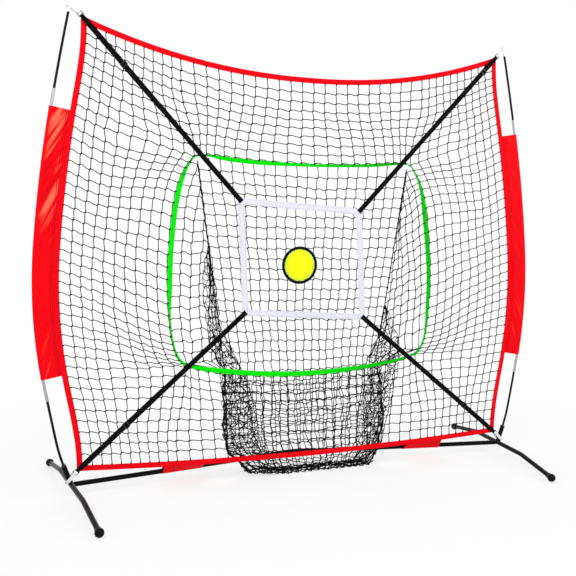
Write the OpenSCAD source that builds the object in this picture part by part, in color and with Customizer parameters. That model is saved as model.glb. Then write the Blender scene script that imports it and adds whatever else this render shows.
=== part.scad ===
// Pitching net for ball practice: a square net with a catch pocket, stretched
// between two bow poles that stand on a pair of ball-ended feet. Four webbing
// straps hold a strike zone in the middle of the pocket's mouth.
// X runs to the right, Y runs away from the pitcher and Z runs up. The origin
// is on the floor, midway between the two hubs.

/* [Base] */
// Distance between the hubs of the two feet
hub_span = 2195; // [1900:5:2400]
// Height of the foot and crossbar axes above the floor
bar_height = 55; // [48:1:75]
// Outside diameter of the foot, post and crossbar tubes
tube_d = 22; // [20:0.5:25]
// Wall thickness of the steel tubes
tube_wall = 1.5; // [1:0.1:2]
// Angle that each half of the crossbar is swept back by
sweep = 9.5; // [4:0.1:11]
// Turn of each foot from square to the net, front end outwards
foot_turn = 6.7; // [4:0.1:9]
// Distance from a hub to the centre of each of its two balls
foot_reach = 514; // [420:2:560]
// Distance from a hub to each bend in its foot
foot_bend_at = 240; // [160:5:300]
// Radius of the bends in the feet
foot_bend_r = 120; // [60:5:160]
// Diameter of the rubber balls
ball_d = 38; // [34:1:44]
// Height of the flat under each ball
ball_flat = 0.8; // [0.5:0.1:2]
// Length of the cuff of a ball along its foot
ball_cuff = 14; // [8:1:20]
// Wall thickness of that cuff
ball_cuff_wall = 2.5; // [1.5:0.5:4]

/* [Tube joints] */
// Length of each stub that a crossbar half slides on to
stub_length = 95; // [70:5:130]
// Length of each straight arm of the elbow in the middle of the crossbar
elbow_arm = 95; // [70:5:130]
// Bend radius of the elbow
elbow_r = 150; // [90:10:250]
// Wall thickness of the elbow
elbow_wall = 1.8; // [1.5:0.1:2.5]
// Clearance on the radius between tubes that slide together
tube_gap = 0.2; // [0.1:0.05:0.3]
// Diameter of the snap buttons
button_d = 7; // [5:0.5:8]
// How far a snap button stands out of the tube round it
button_proud = 2.5; // [2:0.1:3]
// Distance from a tube's end to the snap button in it
button_inset = 45; // [30:5:55]
// Clearance on the radius of a snap button in its holes
button_gap = 0.2; // [0.1:0.05:0.3]
// Thickness of the spring strip under a snap button
spring_strip = 0.8; // [0.6:0.1:1.2]

/* [Poles] */
// Lean of the posts, outwards from upright
post_lean = 20; // [16:0.5:22]
// Length of a post, from the foot axis to its mouth
post_length = 90; // [80:2:110]
// Diameter of the glass-fibre rods
rod_d = 11; // [9:0.5:12]
// How deep a pole sits in its post
rod_seat = 66; // [40:2:68]
// Length of the lowest rod above its post
low_rod_length = 365; // [300:5:420]
// Length of each of the two middle rods
middle_rod_length = 600; // [550:5:640]
// Length of the highest rod
top_rod_length = 450; // [400:5:500]
// Length of the sharp bend just above a post
root_length = 110; // [80:5:140]
// Turn of the sharp bend just above a post
root_turn = 8.5; // [6:0.1:10]
// Turn of the rest of the lowest rod
low_rod_turn = 1.2; // [0.6:0.1:3]
// Turn of the lower middle rod
low_middle_turn = 14.5; // [11:0.1:16]
// Turn of the upper middle rod
high_middle_turn = 5.3; // [4:0.1:7]
// Turn of the highest rod
top_rod_turn = 2.2; // [1:0.1:4]
// Outside diameter of the steel ferrules
ferrule_d = 13.6; // [12.6:0.2:15]
// Length of a ferrule
ferrule_length = 140; // [100:5:160]
// Clearance on the radius of a rod in its ferrules, cap and plug
rod_gap = 0.1; // [0.05:0.05:0.2]
// Length of the cap on a pole's tip
tip_cap_length = 50; // [40:2:60]
// Depth of the notch across a tip cap
tip_notch = 8; // [5:1:12]

/* [Net] */
// How far the net's two top corners stand in from the hubs
top_corner_in = 54.5; // [45:0.5:80]
// Height of the top corners
net_top = 2075; // [2050:1:2085]
// How far the net's two bottom corners stand in from the hubs
bottom_corner_in = 23.5; // [20:0.5:50]
// Height of the bottom corners
net_bottom = 112; // [106:1:120]
// How far the mesh's top edge sags in the middle
top_sag = 174; // [140:1:200]
// How far the mesh's bottom edge sags in the middle
bottom_sag = 30; // [15:1:34]
// Width of the red binding round the net
hem_w = 25; // [20:1:30]
// Thickness of that binding
hem_t = 4; // [3:0.5:5]
// Diameter of the net's cord in the solids
cord_d = 3; // [2.5:0.5:3.5]
// Columns of mesh across the net
columns = 20; // [16:2:20]
// Rows of mesh up the net
rows = 18; // [14:2:18]

/* [Pole sleeves] */
// Distance from the pole to the middle of the side binding
sleeve_reach = 91; // [85:1:95]
// Distance up the pole from its post to the sleeve's lower end
sleeve_start = 390; // [380:5:420]
// Length of a sleeve along its pole
sleeve_length = 1170; // [1150:5:1190]
// Thickness of the sleeve's cloth
cloth_t = 1.2; // [1:0.1:1.5]
// Clearance on the radius round the ferrules in a sleeve
sleeve_gap = 0.5; // [0.4:0.1:1]

/* [Pocket] */
// Half-width of the green rim at its top corners
rim_top_half = 535; // [500:5:550]
// Half-width of the rim at its widest
rim_half = 662; // [640:2:680]
// Height of the rim's top corners
rim_top = 1497; // [1470:1:1510]
// Height of the lowest point of the rim
rim_bottom = 484; // [470:1:500]
// How far the top of the rim sags in the middle
rim_sag = 23; // [10:1:40]
// Width of the rim's ribbon
rim_w = 25; // [20:1:28]
// Thickness of the rim's ribbon
rim_t = 4; // [3:0.5:5]
// Depth of the pocket at the floor
pocket_depth = 64; // [50:1:68]
// Half-width of the pocket level with the bottom of the rim
pouch_half = 400; // [380:5:410]
// How much narrower the pocket's half-width is at its rounded corners
pouch_taper = 24; // [0:1:60]
// Half-width of the pocket on the floor
pouch_foot_half = 300; // [260:5:330]
// Columns of mesh across the pocket's back
back_columns = 8; // [6:1:10]
// Rows of mesh up the pocket's back, behind the rim
back_rows = 8; // [5:1:10]
// Columns of mesh across each side of the pocket
side_columns = 3; // [2:1:4]
// Rows of mesh up the pouch at the pocket's foot
pouch_rows = 3; // [2:1:5]
// Thickness of the pocket's netting
pocket_t = 3; // [2.5:0.5:3.5]
// Clearance of the pocket above the floor
floor_gap = 3; // [2:0.5:6]
// Diameter of the gathered cord along each seam
seam_cord_d = 6; // [4:0.5:8]

/* [Strike zone] */
// Width of the strike zone between the middles of its side webbings
zone_w = 600; // [560:2:640]
// Height of the strike zone between the middles of its level webbings
zone_h = 516; // [480:1:560]
// Height of the middle of the strike zone
zone_z = 1025; // [1000:1:1050]
// How far the strike zone hangs to the right
zone_shift = -20; // [-40:1:0]
// Slope of the strike zone's level webbings as it hangs, down to the right
zone_turn = 3.5; // [0:0.1:5]
// Lean of its upright webbings, to the left at the top
zone_lean = 2.5; // [0:0.1:5]
// Width of the webbing of the straps and the strike zone
webbing_w = 24; // [20:1:25]
// Thickness of the webbing
webbing_t = 2; // [1.5:0.1:2]
// Length of strap that is doubled back from each corner
strap_tail = 500; // [300:10:560]
// Gap between layers of webbing
layer_gap = 0.3; // [0.2:0.05:0.4]
// Diameter of the round target
target_d = 175; // [150:1:190]
// Height of the middle of the target
target_z = 1005; // [990:1:1030]
// How far the target hangs to the right
target_shift = -27; // [-60:1:0]
// Thickness of the target at its middle
target_t = 14; // [10:1:16]
// Width of the bound edge of the target
target_binding = 10; // [6:1:12]

/* [Corner fittings] */
// Width of the elastic loops at the four corners
loop_w = 15; // [12:1:18]
// Thickness of the elastic loops
loop_t = 1.5; // [1.2:0.1:2]
// Width of the opening of a corner ring
ring_w = 18; // [16:0.5:22]
// Length of the opening of a corner ring
ring_length = 14; // [12:0.5:18]
// Width of the bars of a corner ring
ring_bar = 3; // [2.5:0.5:4]
// Distance from the top left slider to its corner
top_left_slider = 265; // [150:5:400]
// Distance from the top right slider to its corner
top_right_slider = 115; // [100:5:400]
// Distance from the bottom left slider to its corner
bottom_left_slider = 285; // [150:5:400]
// Distance from the bottom right slider to its corner
bottom_right_slider = 250; // [150:5:400]
// Thickness of the sliders' bars
slider_bar = 3; // [2:0.1:4]
// Length of a slider along its strap
slider_length = 22; // [18:1:26]
// Distance along the crossbar from the left hub to the middle of the left cloth wrap
left_wrap_at = 516; // [400:2:560]
// Distance along the crossbar from the right hub to the middle of the right cloth wrap
right_wrap_at = 434; // [400:2:560]
// Length of a cloth wrap along the crossbar
wrap_length = 196; // [150:2:210]

/* [Hidden] */
$fn = 48;
tiny = 0.01;

half_span = hub_span / 2;
net_top_half = half_span - top_corner_in;
net_bottom_half = half_span - bottom_corner_in;
tube_r = tube_d / 2;
bore_r = tube_r - tube_wall;
ball_r = ball_d / 2;
ball_z = ball_r - ball_flat;

// ---- Poles -------------------------------------------------------------
// A pole is a run of arcs in the XZ plane. Each entry holds the arc's length,
// its turn, the lean where it starts and the point where it starts. A lean is
// measured outwards from upright.
function step(p, lean, length, turn) =
    let (r = length / (turn * PI / 180))
    [p[0] + r * (cos(lean - turn) - cos(lean)), p[1] + r * (sin(lean) - sin(lean - turn))];
pole_steps = [
    [root_length, root_turn],
    [low_rod_length - root_length, low_rod_turn],
    [middle_rod_length, low_middle_turn],
    [middle_rod_length, high_middle_turn],
    [top_rod_length, top_rod_turn]];
mouth = [half_span + post_length * sin(post_lean), bar_height + post_length * cos(post_lean)];
function arc_lean(i) = i == 0 ? post_lean : arc_lean(i - 1) - pole_steps[i - 1][1];
function arc_start(i) =
    i == 0 ? mouth
    : step(arc_start(i - 1), arc_lean(i - 1), pole_steps[i - 1][0], pole_steps[i - 1][1]);
pole = [for (i = [0 : 4])
    [pole_steps[i][0], pole_steps[i][1], arc_lean(i), arc_start(i)]];
function arc_r(i) = pole[i][0] / (pole[i][1] * PI / 180);
function arc_centre(i) =
    let (lean = pole[i][2], r = arc_r(i))
    [pole[i][3][0] - r * cos(lean), pole[i][3][1] + r * sin(lean)];
// The distance up the pole at which an arc starts, and which arc holds a place
function run_to(i) = i == 0 ? 0 : run_to(i - 1) + pole_steps[i - 1][0];
function arc_at(s) = s < run_to(1) ? 0 : s < run_to(2) ? 1 : s < run_to(3) ? 2 : s < run_to(4) ? 3 : 4;
function lean_at(s) =
    let (i = arc_at(s))
    pole[i][2] - (s - run_to(i)) / arc_r(i) * 180 / PI;
// A point at a distance up the pole, moved in towards the net
function pole_point(s, inset = 0) =
    let (i = arc_at(s), lean = lean_at(s), c = arc_centre(i), r = arc_r(i) - inset)
    [c[0] + r * cos(lean), c[1] - r * sin(lean)];
pole_length = run_to(4) + top_rod_length;

// ---- Net outline -------------------------------------------------------
// The mesh ends on the inner edge of the binding. Each edge is a function of
// a share of its length, from 0 to 1.
sag_power = 2.15;
top_slope = sag_power * top_sag / (net_top_half - hem_w);
bottom_slope = 2 * bottom_sag / (net_bottom_half - hem_w);
function mitre(slope) = hem_w * (sqrt(1 + slope * slope) + slope);
top_in = [net_top_half - hem_w, net_top - mitre(top_slope)];
bottom_in = [net_bottom_half - hem_w, net_bottom + mitre(-bottom_slope)];
sleeve_inset = sleeve_reach + hem_w / 2;
sleeve_end = sleeve_start + sleeve_length;
sleeve_low = pole_point(sleeve_start, sleeve_inset);
sleeve_high = pole_point(sleeve_end, sleeve_inset);
edge_pull = 130;
function bezier(a, b, c, d, t) =
    a * pow(1 - t, 3) + 3 * b * t * pow(1 - t, 2) + 3 * c * t * t * (1 - t) + d * pow(t, 3);
// Share of the side edge at which the sleeve starts and ends
side_low = norm(sleeve_low - bottom_in);
side_high = norm(top_in - sleeve_high);
side_all = side_low + sleeve_length + side_high;
share_low = side_low / side_all;
share_high = 1 - side_high / side_all;
function along(lean) = [sin(lean), cos(lean)];
function side_edge(v) =
    v < share_low
    ? bezier(bottom_in, bottom_in + [0, edge_pull], sleeve_low - edge_pull * along(lean_at(sleeve_start)),
        sleeve_low, v / share_low)
    : v > share_high
    ? bezier(sleeve_high, sleeve_high + edge_pull * along(lean_at(sleeve_end)), top_in - [0, edge_pull],
        top_in, (v - share_high) / (1 - share_high))
    : pole_point(sleeve_start + sleeve_length * (v - share_low) / (share_high - share_low), sleeve_inset);
// The level edges run from the left, at 0, to the right, at 1
function top_edge(u) = let (x = 2 * u - 1)
    [x * top_in[0], top_in[1] - top_sag * (1 - pow(abs(x), sag_power))];
function bottom_edge(u) = let (x = 2 * u - 1)
    [x * bottom_in[0], bottom_in[1] - bottom_sag * (1 - x * x)];
function mirrored(p) = [-p[0], p[1]];
function sheet_point(u, v) =
    let (t = top_edge(u), b = bottom_edge(u), r = side_edge(v), l = mirrored(r))
    t * v + b * (1 - v) + l * (1 - u) + r * u
        - (bottom_in * u + mirrored(bottom_in) * (1 - u)) * (1 - v)
        - (top_in * u + mirrored(top_in) * (1 - u)) * v;

// ---- Rim ---------------------------------------------------------------
// Points of the right half of the rim's middle line, from the top to the
// bottom, and the smooth closed curve through them and their mirror images
rim_h = rim_top - rim_bottom;
rim_drop = 60;
rim_half_points = [
    [0, rim_top - rim_sag],
    [rim_top_half * 0.55, rim_top - rim_sag * 0.6],
    [rim_top_half - 30, rim_top],
    [rim_top_half + 30, rim_top - 32],
    [(rim_top_half + rim_half) / 2 + 24, rim_top - rim_h * 0.155],
    [rim_half - 8, rim_top - rim_h * 0.375],
    [rim_half, rim_top - rim_h * 0.59],
    [rim_half - 15, rim_bottom + rim_drop + rim_h * 0.15],
    [rim_half - 48, rim_bottom + rim_drop + 42],
    [rim_half - 115, rim_bottom + rim_drop],
    [rim_half * 0.6, rim_bottom + rim_drop * 0.5],
    [rim_half * 0.3, rim_bottom + rim_drop * 0.13],
    [0, rim_bottom]];
rim_points = concat(rim_half_points,
    [for (i = [len(rim_half_points) - 2 : -1 : 1]) mirrored(rim_half_points[i])]);
rim_count = len(rim_points);
function wrap_index(i) = (i % rim_count + rim_count) % rim_count;
function rim_at(t) =
    let (i = floor(t), f = t - i,
        a = rim_points[wrap_index(i - 1)], b = rim_points[wrap_index(i)],
        c = rim_points[wrap_index(i + 1)], d = rim_points[wrap_index(i + 2)])
    0.5 * (2 * b + (c - a) * f + (2 * a - 5 * b + 4 * c - d) * f * f + (3 * b - a - 3 * c + d) * f * f * f);
function unit(v) = v / norm(v);
// The rim's line, moved outwards
function rim_edge(t, out) =
    let (d = unit(rim_at(t + tiny) - rim_at(t - tiny)))
    rim_at(t) + out * [-d[1], d[0]];
// Where the corners of the block of mesh that the rim replaces meet the rim
top_corner = 2.5;
low_corner = 8.5;
rim_steps = 4;

// ---- Mesh --------------------------------------------------------------
// The block of mesh that the pocket takes up, in columns and rows
block_left = round(columns / 5);
block_right = columns - block_left;
block_low = round(rows / 4.5);
block_high = round(rows * 7 / 9);
pull_reach = 3.2;
function clamp(x, low, high) = max(low, min(high, x));
// The rim's outer edge at a place on the edge of the block
function block_on_rim(i, j) =
    let (across = (i - block_left) / (block_right - block_left),
        up = (j - block_low) / (block_high - block_low),
        half = len(rim_half_points) - 1,
        t = j >= block_high ? (2 * across - 1) * top_corner
            : i >= block_right ? top_corner + (1 - up) * (low_corner - top_corner)
            : j <= block_low ? low_corner + (1 - across) * 2 * (half - low_corner)
            : -top_corner - (1 - up) * (low_corner - top_corner))
    rim_edge(t, rim_w / 2);
// A point of the net, with i counting columns and j counting rows
function net_point(i, j) =
    let (i0 = clamp(i, block_left, block_right), j0 = clamp(j, block_low, block_high),
        d = norm([i - i0, j - j0]), ease = d >= pull_reach ? 0 : pow(cos(90 * d / pull_reach), 2),
        p = sheet_point(i / columns, j / rows))
    ease == 0 ? p
    : p + ease * (block_on_rim(i0, j0) - sheet_point(i0 / columns, j0 / rows));
// A closed loop round a rectangle of the mesh, drawn in by a share of a mesh
loop_steps = 3;
function net_loop(i0, j0, i1, j1, di = 0, dj = 0, n = loop_steps) = concat(
    [for (k = [0 : n * (i1 - i0) - 1]) net_point(i0 + di + (i1 - i0 - 2 * di) * k / (n * (i1 - i0)), j0 + dj)],
    [for (k = [0 : n * (j1 - j0) - 1]) net_point(i1 - di, j0 + dj + (j1 - j0 - 2 * dj) * k / (n * (j1 - j0)))],
    [for (k = [0 : n * (i1 - i0) - 1]) net_point(i1 - di - (i1 - i0 - 2 * di) * k / (n * (i1 - i0)), j1 - dj)],
    [for (k = [0 : n * (j1 - j0) - 1]) net_point(i0 + di, j1 - dj - (j1 - j0 - 2 * dj) * k / (n * (j1 - j0)))]);
function beside_block(i, j) =
    i >= block_left - 1 && i <= block_right && j >= block_low - 1 && j <= block_high;
function net_gap(i, j) =
    let (w = norm(net_point(i + 1, j + 0.5) - net_point(i, j + 0.5)),
        h = norm(net_point(i + 0.5, j + 1) - net_point(i + 0.5, j)))
    net_loop(i, j, i + 1, j + 1, cord_d / 2 / w, cord_d / 2 / h, beside_block(i, j) ? loop_steps : 2);
// A flat plate with holes, from loops of points: the first is the outline
function loop_paths(loops, i = 0, from = 0) =
    i >= len(loops) ? []
    : concat([[for (k = [0 : len(loops[i]) - 1]) from + k]],
        loop_paths(loops, i + 1, from + len(loops[i])));
module plate(loops, t, y = 0) {
    translate([0, y + t / 2, 0]) rotate([90, 0, 0]) linear_extrude(t)
        polygon([for (l = loops) each l], loop_paths(loops));
}
module net_panel(i0, j0, i1, j1) {
    color("#1b1b1d") plate(concat([net_loop(i0, j0, i1, j1)],
        [for (i = [i0 : i1 - 1], j = [j0 : j1 - 1]) net_gap(i, j)]), cord_d);
}
module net_left() { net_panel(0, 0, block_left, rows); }
module net_right() { net_panel(block_right, 0, columns, rows); }
module net_top() { net_panel(block_left, block_high, block_right, rows); }
module net_bottom() { net_panel(block_left, 0, block_right, block_low); }

// ---- Binding -----------------------------------------------------------
// The binding's outer edge lies a hem's width outside the mesh, and its ends
// are mitred from the mesh's corner to the net's corner
function outside(a, b, w) = let (d = unit(b - a)) [d[1], -d[0]] * w;
module hem(inner, start, end) {
    last = len(inner) - 1;
    outer = [for (k = [0 : last])
        k == 0 ? start : k == last ? end
        : inner[k] + outside(inner[k - 1], inner[k + 1], hem_w)];
    color("#e8102a") plate([concat(inner, [for (k = [last : -1 : 0]) outer[k]])], hem_t);
}
top_right = [net_top_half, net_top];
bottom_right = [net_bottom_half, net_bottom];
function net_row(j) = [for (k = [0 : loop_steps * columns]) net_point(k / loop_steps, j)];
function net_column(i) = [for (k = [0 : loop_steps * rows]) net_point(i, k / loop_steps)];
function reversed(l) = [for (k = [len(l) - 1 : -1 : 0]) l[k]];
module bottom_hem() { hem(net_row(0), mirrored(bottom_right), bottom_right); }
module right_hem() { hem(net_column(columns), bottom_right, top_right); }
module top_hem() { hem(reversed(net_row(rows)), top_right, mirrored(top_right)); }
module left_hem() { hem(reversed(net_column(0)), mirrored(top_right), mirrored(bottom_right)); }

// ---- Rim and pocket ----------------------------------------------------
function rim_loop(out) = [for (k = [0 : rim_count * rim_steps - 1]) rim_edge(k / rim_steps, out)];
// The rim's outer edge takes the same points as the mesh round it
module pocket_rim() {
    color("#14d914") plate([net_loop(block_left, block_low, block_right, block_high),
        rim_loop(-rim_w / 2)], rim_t);
}
// The back of the pocket hangs from behind the top of the rim and leans back
back_top = rim_top - rim_sag / 2;
back_y = rim_t / 2 + layer_gap;
back_tilt = atan((pocket_depth - back_y) / (back_top - floor_gap));
function back_y_at(z) = back_y + (back_top - z) * tan(back_tilt);
// Half-width of the pocket's back at a height: it narrows evenly down to the
// pouch, which has rounded lower corners
pouch_top = rim_bottom + rim_drop;
pouch_round = 90;
pouch_low_half = pouch_half - pouch_taper;
function seam_x(z) =
    z > pouch_top ? pouch_half + (rim_top_half - pouch_half) * (z - pouch_top) / (back_top - pouch_top)
    : z > pouch_round ? pouch_half - pouch_taper * (pouch_top - z) / (pouch_top - pouch_round)
    : pouch_foot_half + (pouch_low_half - pouch_foot_half)
        * sqrt(1 - pow(1 - (z - floor_gap) / (pouch_round - floor_gap), 2));
// A lattice between a line and its mirror image, with a row of meshes between
// each two heights
module lattice(heights, across, t) {
    n = len(heights) - 1;
    function at(u, k) = [(2 * u - 1) * seam_x(heights[k]), heights[k]];
    function in_cell(i, k, u, v) = at((i + u) / across, k) * (1 - v) + at((i + u) / across, k + 1) * v;
    function cell(i, k) =
        let (w = 2 * seam_x(heights[k]) / across, h = heights[k + 1] - heights[k],
            u = cord_d / 2 / w, v = cord_d / 2 / h)
        [in_cell(i, k, u, v), in_cell(i, k, 1 - u, v), in_cell(i, k, 1 - u, 1 - v), in_cell(i, k, u, 1 - v)];
    loops = concat([concat([for (k = [0 : n]) at(1, k)], [for (k = [n : -1 : 0]) at(0, k)])],
        [for (i = [0 : across - 1], k = [0 : n - 1]) cell(i, k)]);
    linear_extrude(t) polygon([for (l = loops) each l], loop_paths(loops));
}
pouch_heights = [floor_gap, 14, 32, 58, pouch_round];
function heights_to(top) = concat(pouch_heights,
    [for (k = [1 : pouch_rows]) pouch_round + (top - pouch_round) * k / pouch_rows]);
module in_back() {
    translate([0, back_y + pocket_t, back_top]) rotate([90 + back_tilt, 0, 0])
        translate([0, -back_top, 0]) children();
}
module pocket_back() {
    color("#1b1b1d") in_back() lattice(concat(heights_to(pouch_top),
        [for (k = [1 : back_rows]) pouch_top + (back_top - pouch_top) * k / back_rows]), back_columns, pocket_t);
}
module pocket_front() {
    color("#1b1b1d") translate([0, back_y + pocket_t, 0]) rotate([90, 0, 0])
        lattice(heights_to(rim_bottom), back_columns, pocket_t);
}
module pocket_floor() {
    front = back_y + pocket_t + layer_gap;
    back = back_y_at(floor_gap) - 2 * layer_gap;
    inset = 4;
    color("#1b1b1d") translate([inset - pouch_foot_half, front, floor_gap])
        cube([2 * (pouch_foot_half - inset), back - front, pocket_t]);
}
// A side of the pocket is netting stretched between two lines: one follows the
// rim from its top corner and then the pouch's front edge, the other the seam
rim_points_beside = 14;
side_gap = 0.6;
side_start = top_corner + 0.4;
side_end = 10;
side_drop = 30;
// A point of the seam, just outside the back's edge, at a height up the back
function seam_point(h) =
    [seam_x(h) + side_gap, back_y + (back_top - h) * sin(back_tilt), back_top - (back_top - h) * cos(back_tilt)];
side_outer = concat(
    [for (k = [0 : rim_points_beside]) let (p = rim_at(side_start + (side_end - side_start) * k / rim_points_beside))
        [p[0], back_y, p[1]]],
    [for (h = reversed(heights_to(rim_bottom))) [seam_x(h) + side_gap, back_y, h]]);
side_inner = concat(
    [for (k = [0 : rim_points_beside]) seam_point(back_top - side_drop
        + (pouch_top - back_top + side_drop) * k / rim_points_beside)],
    [for (h = reversed(heights_to(rim_bottom))) seam_point(h)]);
// A strip of netting between two lines with the same number of points. Between
// points first and last it has a row of meshes for each two points. Its
// thickness is square to the straight lines that span it, in plan.
module netting_strip(a, b, across, first, last, t) {
    function mix(p, q, f) = p * (1 - f) + q * f;
    function middle(k) = mix(a[k], b[k], 0.5);
    function half_cord(k) = cord_d / 2 / norm(middle(k + 1) - middle(k));
    function on_line(l, s) = let (k = min(floor(s), len(l) - 2)) mix(l[k], l[k + 1], s - k);
    stations = concat([for (k = [0 : first]) k],
        [for (k = [first : last - 1]) each [k + half_cord(k), k + 1 - half_cord(k)]],
        [for (k = [last : len(a) - 1]) k]);
    rows = len(stations);
    lines = 2 * across + 2;
    function share(j, c) = floor(j / 2) / across + (j == 0 || j == lines - 1 ? 0 : j % 2 == 1 ? c : -c);
    // the front's points at a station, or the back's
    function crossing(s, back) =
        let (p = on_line(a, s), q = on_line(b, s), d = q - p, c = cord_d / 2 / norm(d),
            behind = back * t / norm([d[0], d[1]]) * [d[1], -d[0], 0])
        [for (j = [0 : lines - 1]) mix(p, q, share(j, c)) + behind];
    function open(i, j) =
        i < 0 || j < 0 || i >= rows - 1 || j >= lines - 1
        || (j % 2 == 1 && (i - first) % 2 == 1 && i > first && i < first + 2 * (last - first));
    function quad(p, q, r, s) = [[p, q, r], [p, r, s]];
    polyhedron(
        [for (back = [0, 1], s = stations) each crossing(s, back)],
        [for (i = [0 : rows - 2], j = [0 : lines - 2]) if (!open(i, j))
            let (p = i * lines + j, q = p + lines, u = p + rows * lines, v = q + rows * lines)
            each concat(quad(p, q, q + 1, p + 1), quad(u, u + 1, v + 1, v),
                open(i, j - 1) ? quad(p, u, v, q) : [],
                open(i, j + 1) ? quad(p + 1, q + 1, v + 1, u + 1) : [],
                open(i - 1, j) ? quad(p, p + 1, u + 1, u) : [],
                open(i + 1, j) ? quad(q, v, v + 1, q + 1) : [])]);
}
module pocket_side() {
    color("#1b1b1d")
        netting_strip(side_outer, side_inner, side_columns, 1, len(side_outer) - len(pouch_heights), pocket_t);
}
module pocket_right_side() { pocket_side(); }
module pocket_left_side() { flipped() pocket_side(); }
module flipped() { mirror([1, 0, 0]) children(); }
module both() { children(); flipped() children(); }
// The seams are gathered into a thick cord behind the pocket's back
seam_knot = seam_cord_d + 1;
module seam_cords() {
    function up(z) = back_top - (back_top - z) / cos(back_tilt);
    upper = [seam_x(back_top) - seam_cord_d / 2, up(back_top)];
    middle = [seam_x(pouch_top) - seam_cord_d / 2, up(pouch_top)];
    lower = [seam_x(pouch_round + 20) - seam_cord_d / 2, up(pouch_round + 20)];
    color("#161618") both() in_back() translate([0, 0, -layer_gap - seam_knot / 2]) {
        rod_between(upper, middle, seam_cord_d);
        rod_between(middle, lower, seam_cord_d);
        translate([middle[0], middle[1], 0]) sphere(d = seam_knot);
    }
}
module rod_between(a, b, d) {
    v = b - a;
    translate([a[0], a[1], 0]) rotate([0, 0, atan2(v[1], v[0])]) rotate([0, 90, 0])
        cylinder(d = d, h = norm(v));
}
// The target is a padded disc on the front of the pocket's back, domed to the
// front, with a bound edge
module at_target() {
    in_back() translate([target_shift, back_top - (back_top - target_z) / cos(back_tilt), pocket_t + layer_gap])
        children();
}
target_r = target_d / 2;
pad_r = target_r - target_binding;
pad_edge = target_t * 0.5;
dome_steps = 12;
module target_pad() {
    dome_r = (pad_r * pad_r + pow(target_t - pad_edge, 2)) / 2 / (target_t - pad_edge);
    dome_half = asin(pad_r / dome_r);
    color("#f4ff14") at_target() rotate_extrude() polygon(concat([[0, 0], [pad_r, 0]],
        [for (k = [dome_steps : -1 : 0]) let (a = dome_half * k / dome_steps)
            [k == dome_steps ? pad_r : dome_r * sin(a), target_t - dome_r * (1 - cos(a))]]));
}
module target_ring() {
    t = pad_edge + 2;
    color("#18181a") at_target() rotate_extrude() {
        translate([pad_r + layer_gap, 0]) square([target_binding - layer_gap - t / 2, t]);
        translate([target_r - t / 2, t / 2]) intersection() {
            circle(d = t);
            translate([0, -t]) square(2 * t);
        }
    }
}

// ---- Base --------------------------------------------------------------
// The hub frame has the foot along Y and the crossbar along -X
module at_hub(turn = sweep) { translate([half_span, 0, bar_height]) rotate([0, 0, -turn]) children(); }
leg_drop = atan((bar_height - ball_z) / (foot_reach - foot_bend_at));
leg_length = (foot_reach - foot_bend_at) / cos(leg_drop) - foot_bend_r * tan(leg_drop / 2);
module tube_ring(out_r, in_r) {
    difference() {
        circle(out_r);
        circle(in_r);
    }
}
// A straight length of pipe along X, an arc of pipe that bends towards -Y from
// the origin, and the narrow band that a bending die leaves where they meet
band = 0.05;
band_length = 3;
band_break = 0.5;
module straight_pipe(from, to, out_r, in_r) {
    translate([from, 0, 0]) rotate([90, 0, 90]) linear_extrude(to - from) tube_ring(out_r, in_r);
}
module pipe_band(out_r, in_r) {
    straight_pipe(-band_length / 2, band_length / 2, out_r + band, in_r - band);
}
module pipe_bend(bend_r, turn, out_r, in_r) {
    cut = band_break / 2 / bend_r * 180 / PI;
    translate([0, -bend_r, 0]) rotate([0, 0, 90 - turn + cut]) rotate_extrude(angle = turn - 2 * cut)
        translate([bend_r, 0]) tube_ring(out_r, in_r);
}
module past_bend(bend_r, turn) {
    translate([bend_r * sin(turn), bend_r * (cos(turn) - 1), 0]) rotate([0, 0, -turn]) children();
}
module foot() {
    half = foot_bend_at - foot_bend_r * tan(leg_drop / 2);
    color("#2b2725") at_hub(foot_turn) {
        rotate([0, 0, 90]) straight_pipe(-half + band_break / 2, half - band_break / 2, tube_r, bore_r);
        for (turn = [0, 180]) rotate([0, 0, turn]) rotate([90, 0, 90]) translate([half, 0, 0]) {
            pipe_band(tube_r, bore_r);
            pipe_bend(foot_bend_r, leg_drop, tube_r, bore_r);
            past_bend(foot_bend_r, leg_drop) {
                pipe_band(tube_r, bore_r);
                straight_pipe(band_break / 2, leg_length, tube_r, bore_r);
            }
        }
    }
}
module right_foot() { foot(); }
module left_foot() { flipped() foot(); }
// A rubber ball is pushed on to the end of its foot and is flat underneath
module ball(turn) {
    color("#101011") at_hub(foot_turn) rotate([0, 0, turn]) translate([0, foot_reach, ball_z - bar_height])
        difference() {
            union() {
                sphere(ball_r, $fn = 96);
                rotate([90 - leg_drop, 0, 0])
                    cylinder(r = tube_r + ball_cuff_wall, h = sqrt(ball_r * ball_r
                        - pow(tube_r + ball_cuff_wall, 2)) + ball_cuff);
            }
            rotate([90 - leg_drop, 0, 0]) translate([0, 0, -1])
                cylinder(r = tube_r + tube_gap, h = ball_d + ball_cuff);
            translate([-ball_r, -ball_r, -ball_d - ball_z]) cube([ball_d, ball_d, ball_d]);
        }
}
module right_front_ball() { ball(180); }
module right_rear_ball() { ball(0); }
module left_front_ball() { flipped() ball(180); }
module left_rear_ball() { flipped() ball(0); }
// The post and the stub are coped round the foot and welded to it
weld_gap = 0.05;
stub_r = bore_r - tube_gap;
bar_start = tube_r + 2;
module foot_cut() {
    at_hub(foot_turn) translate([0, -tube_d * 2, 0]) rotate([-90, 0, 0])
        cylinder(r = tube_r + weld_gap, h = tube_d * 4);
}
module in_post() { translate([half_span, 0, bar_height]) rotate([0, post_lean, 0]) children(); }
// Where the corner loop crosses the post, measured up from the foot's axis
post_hook = 25;
rivet_shank = 4;
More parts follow.
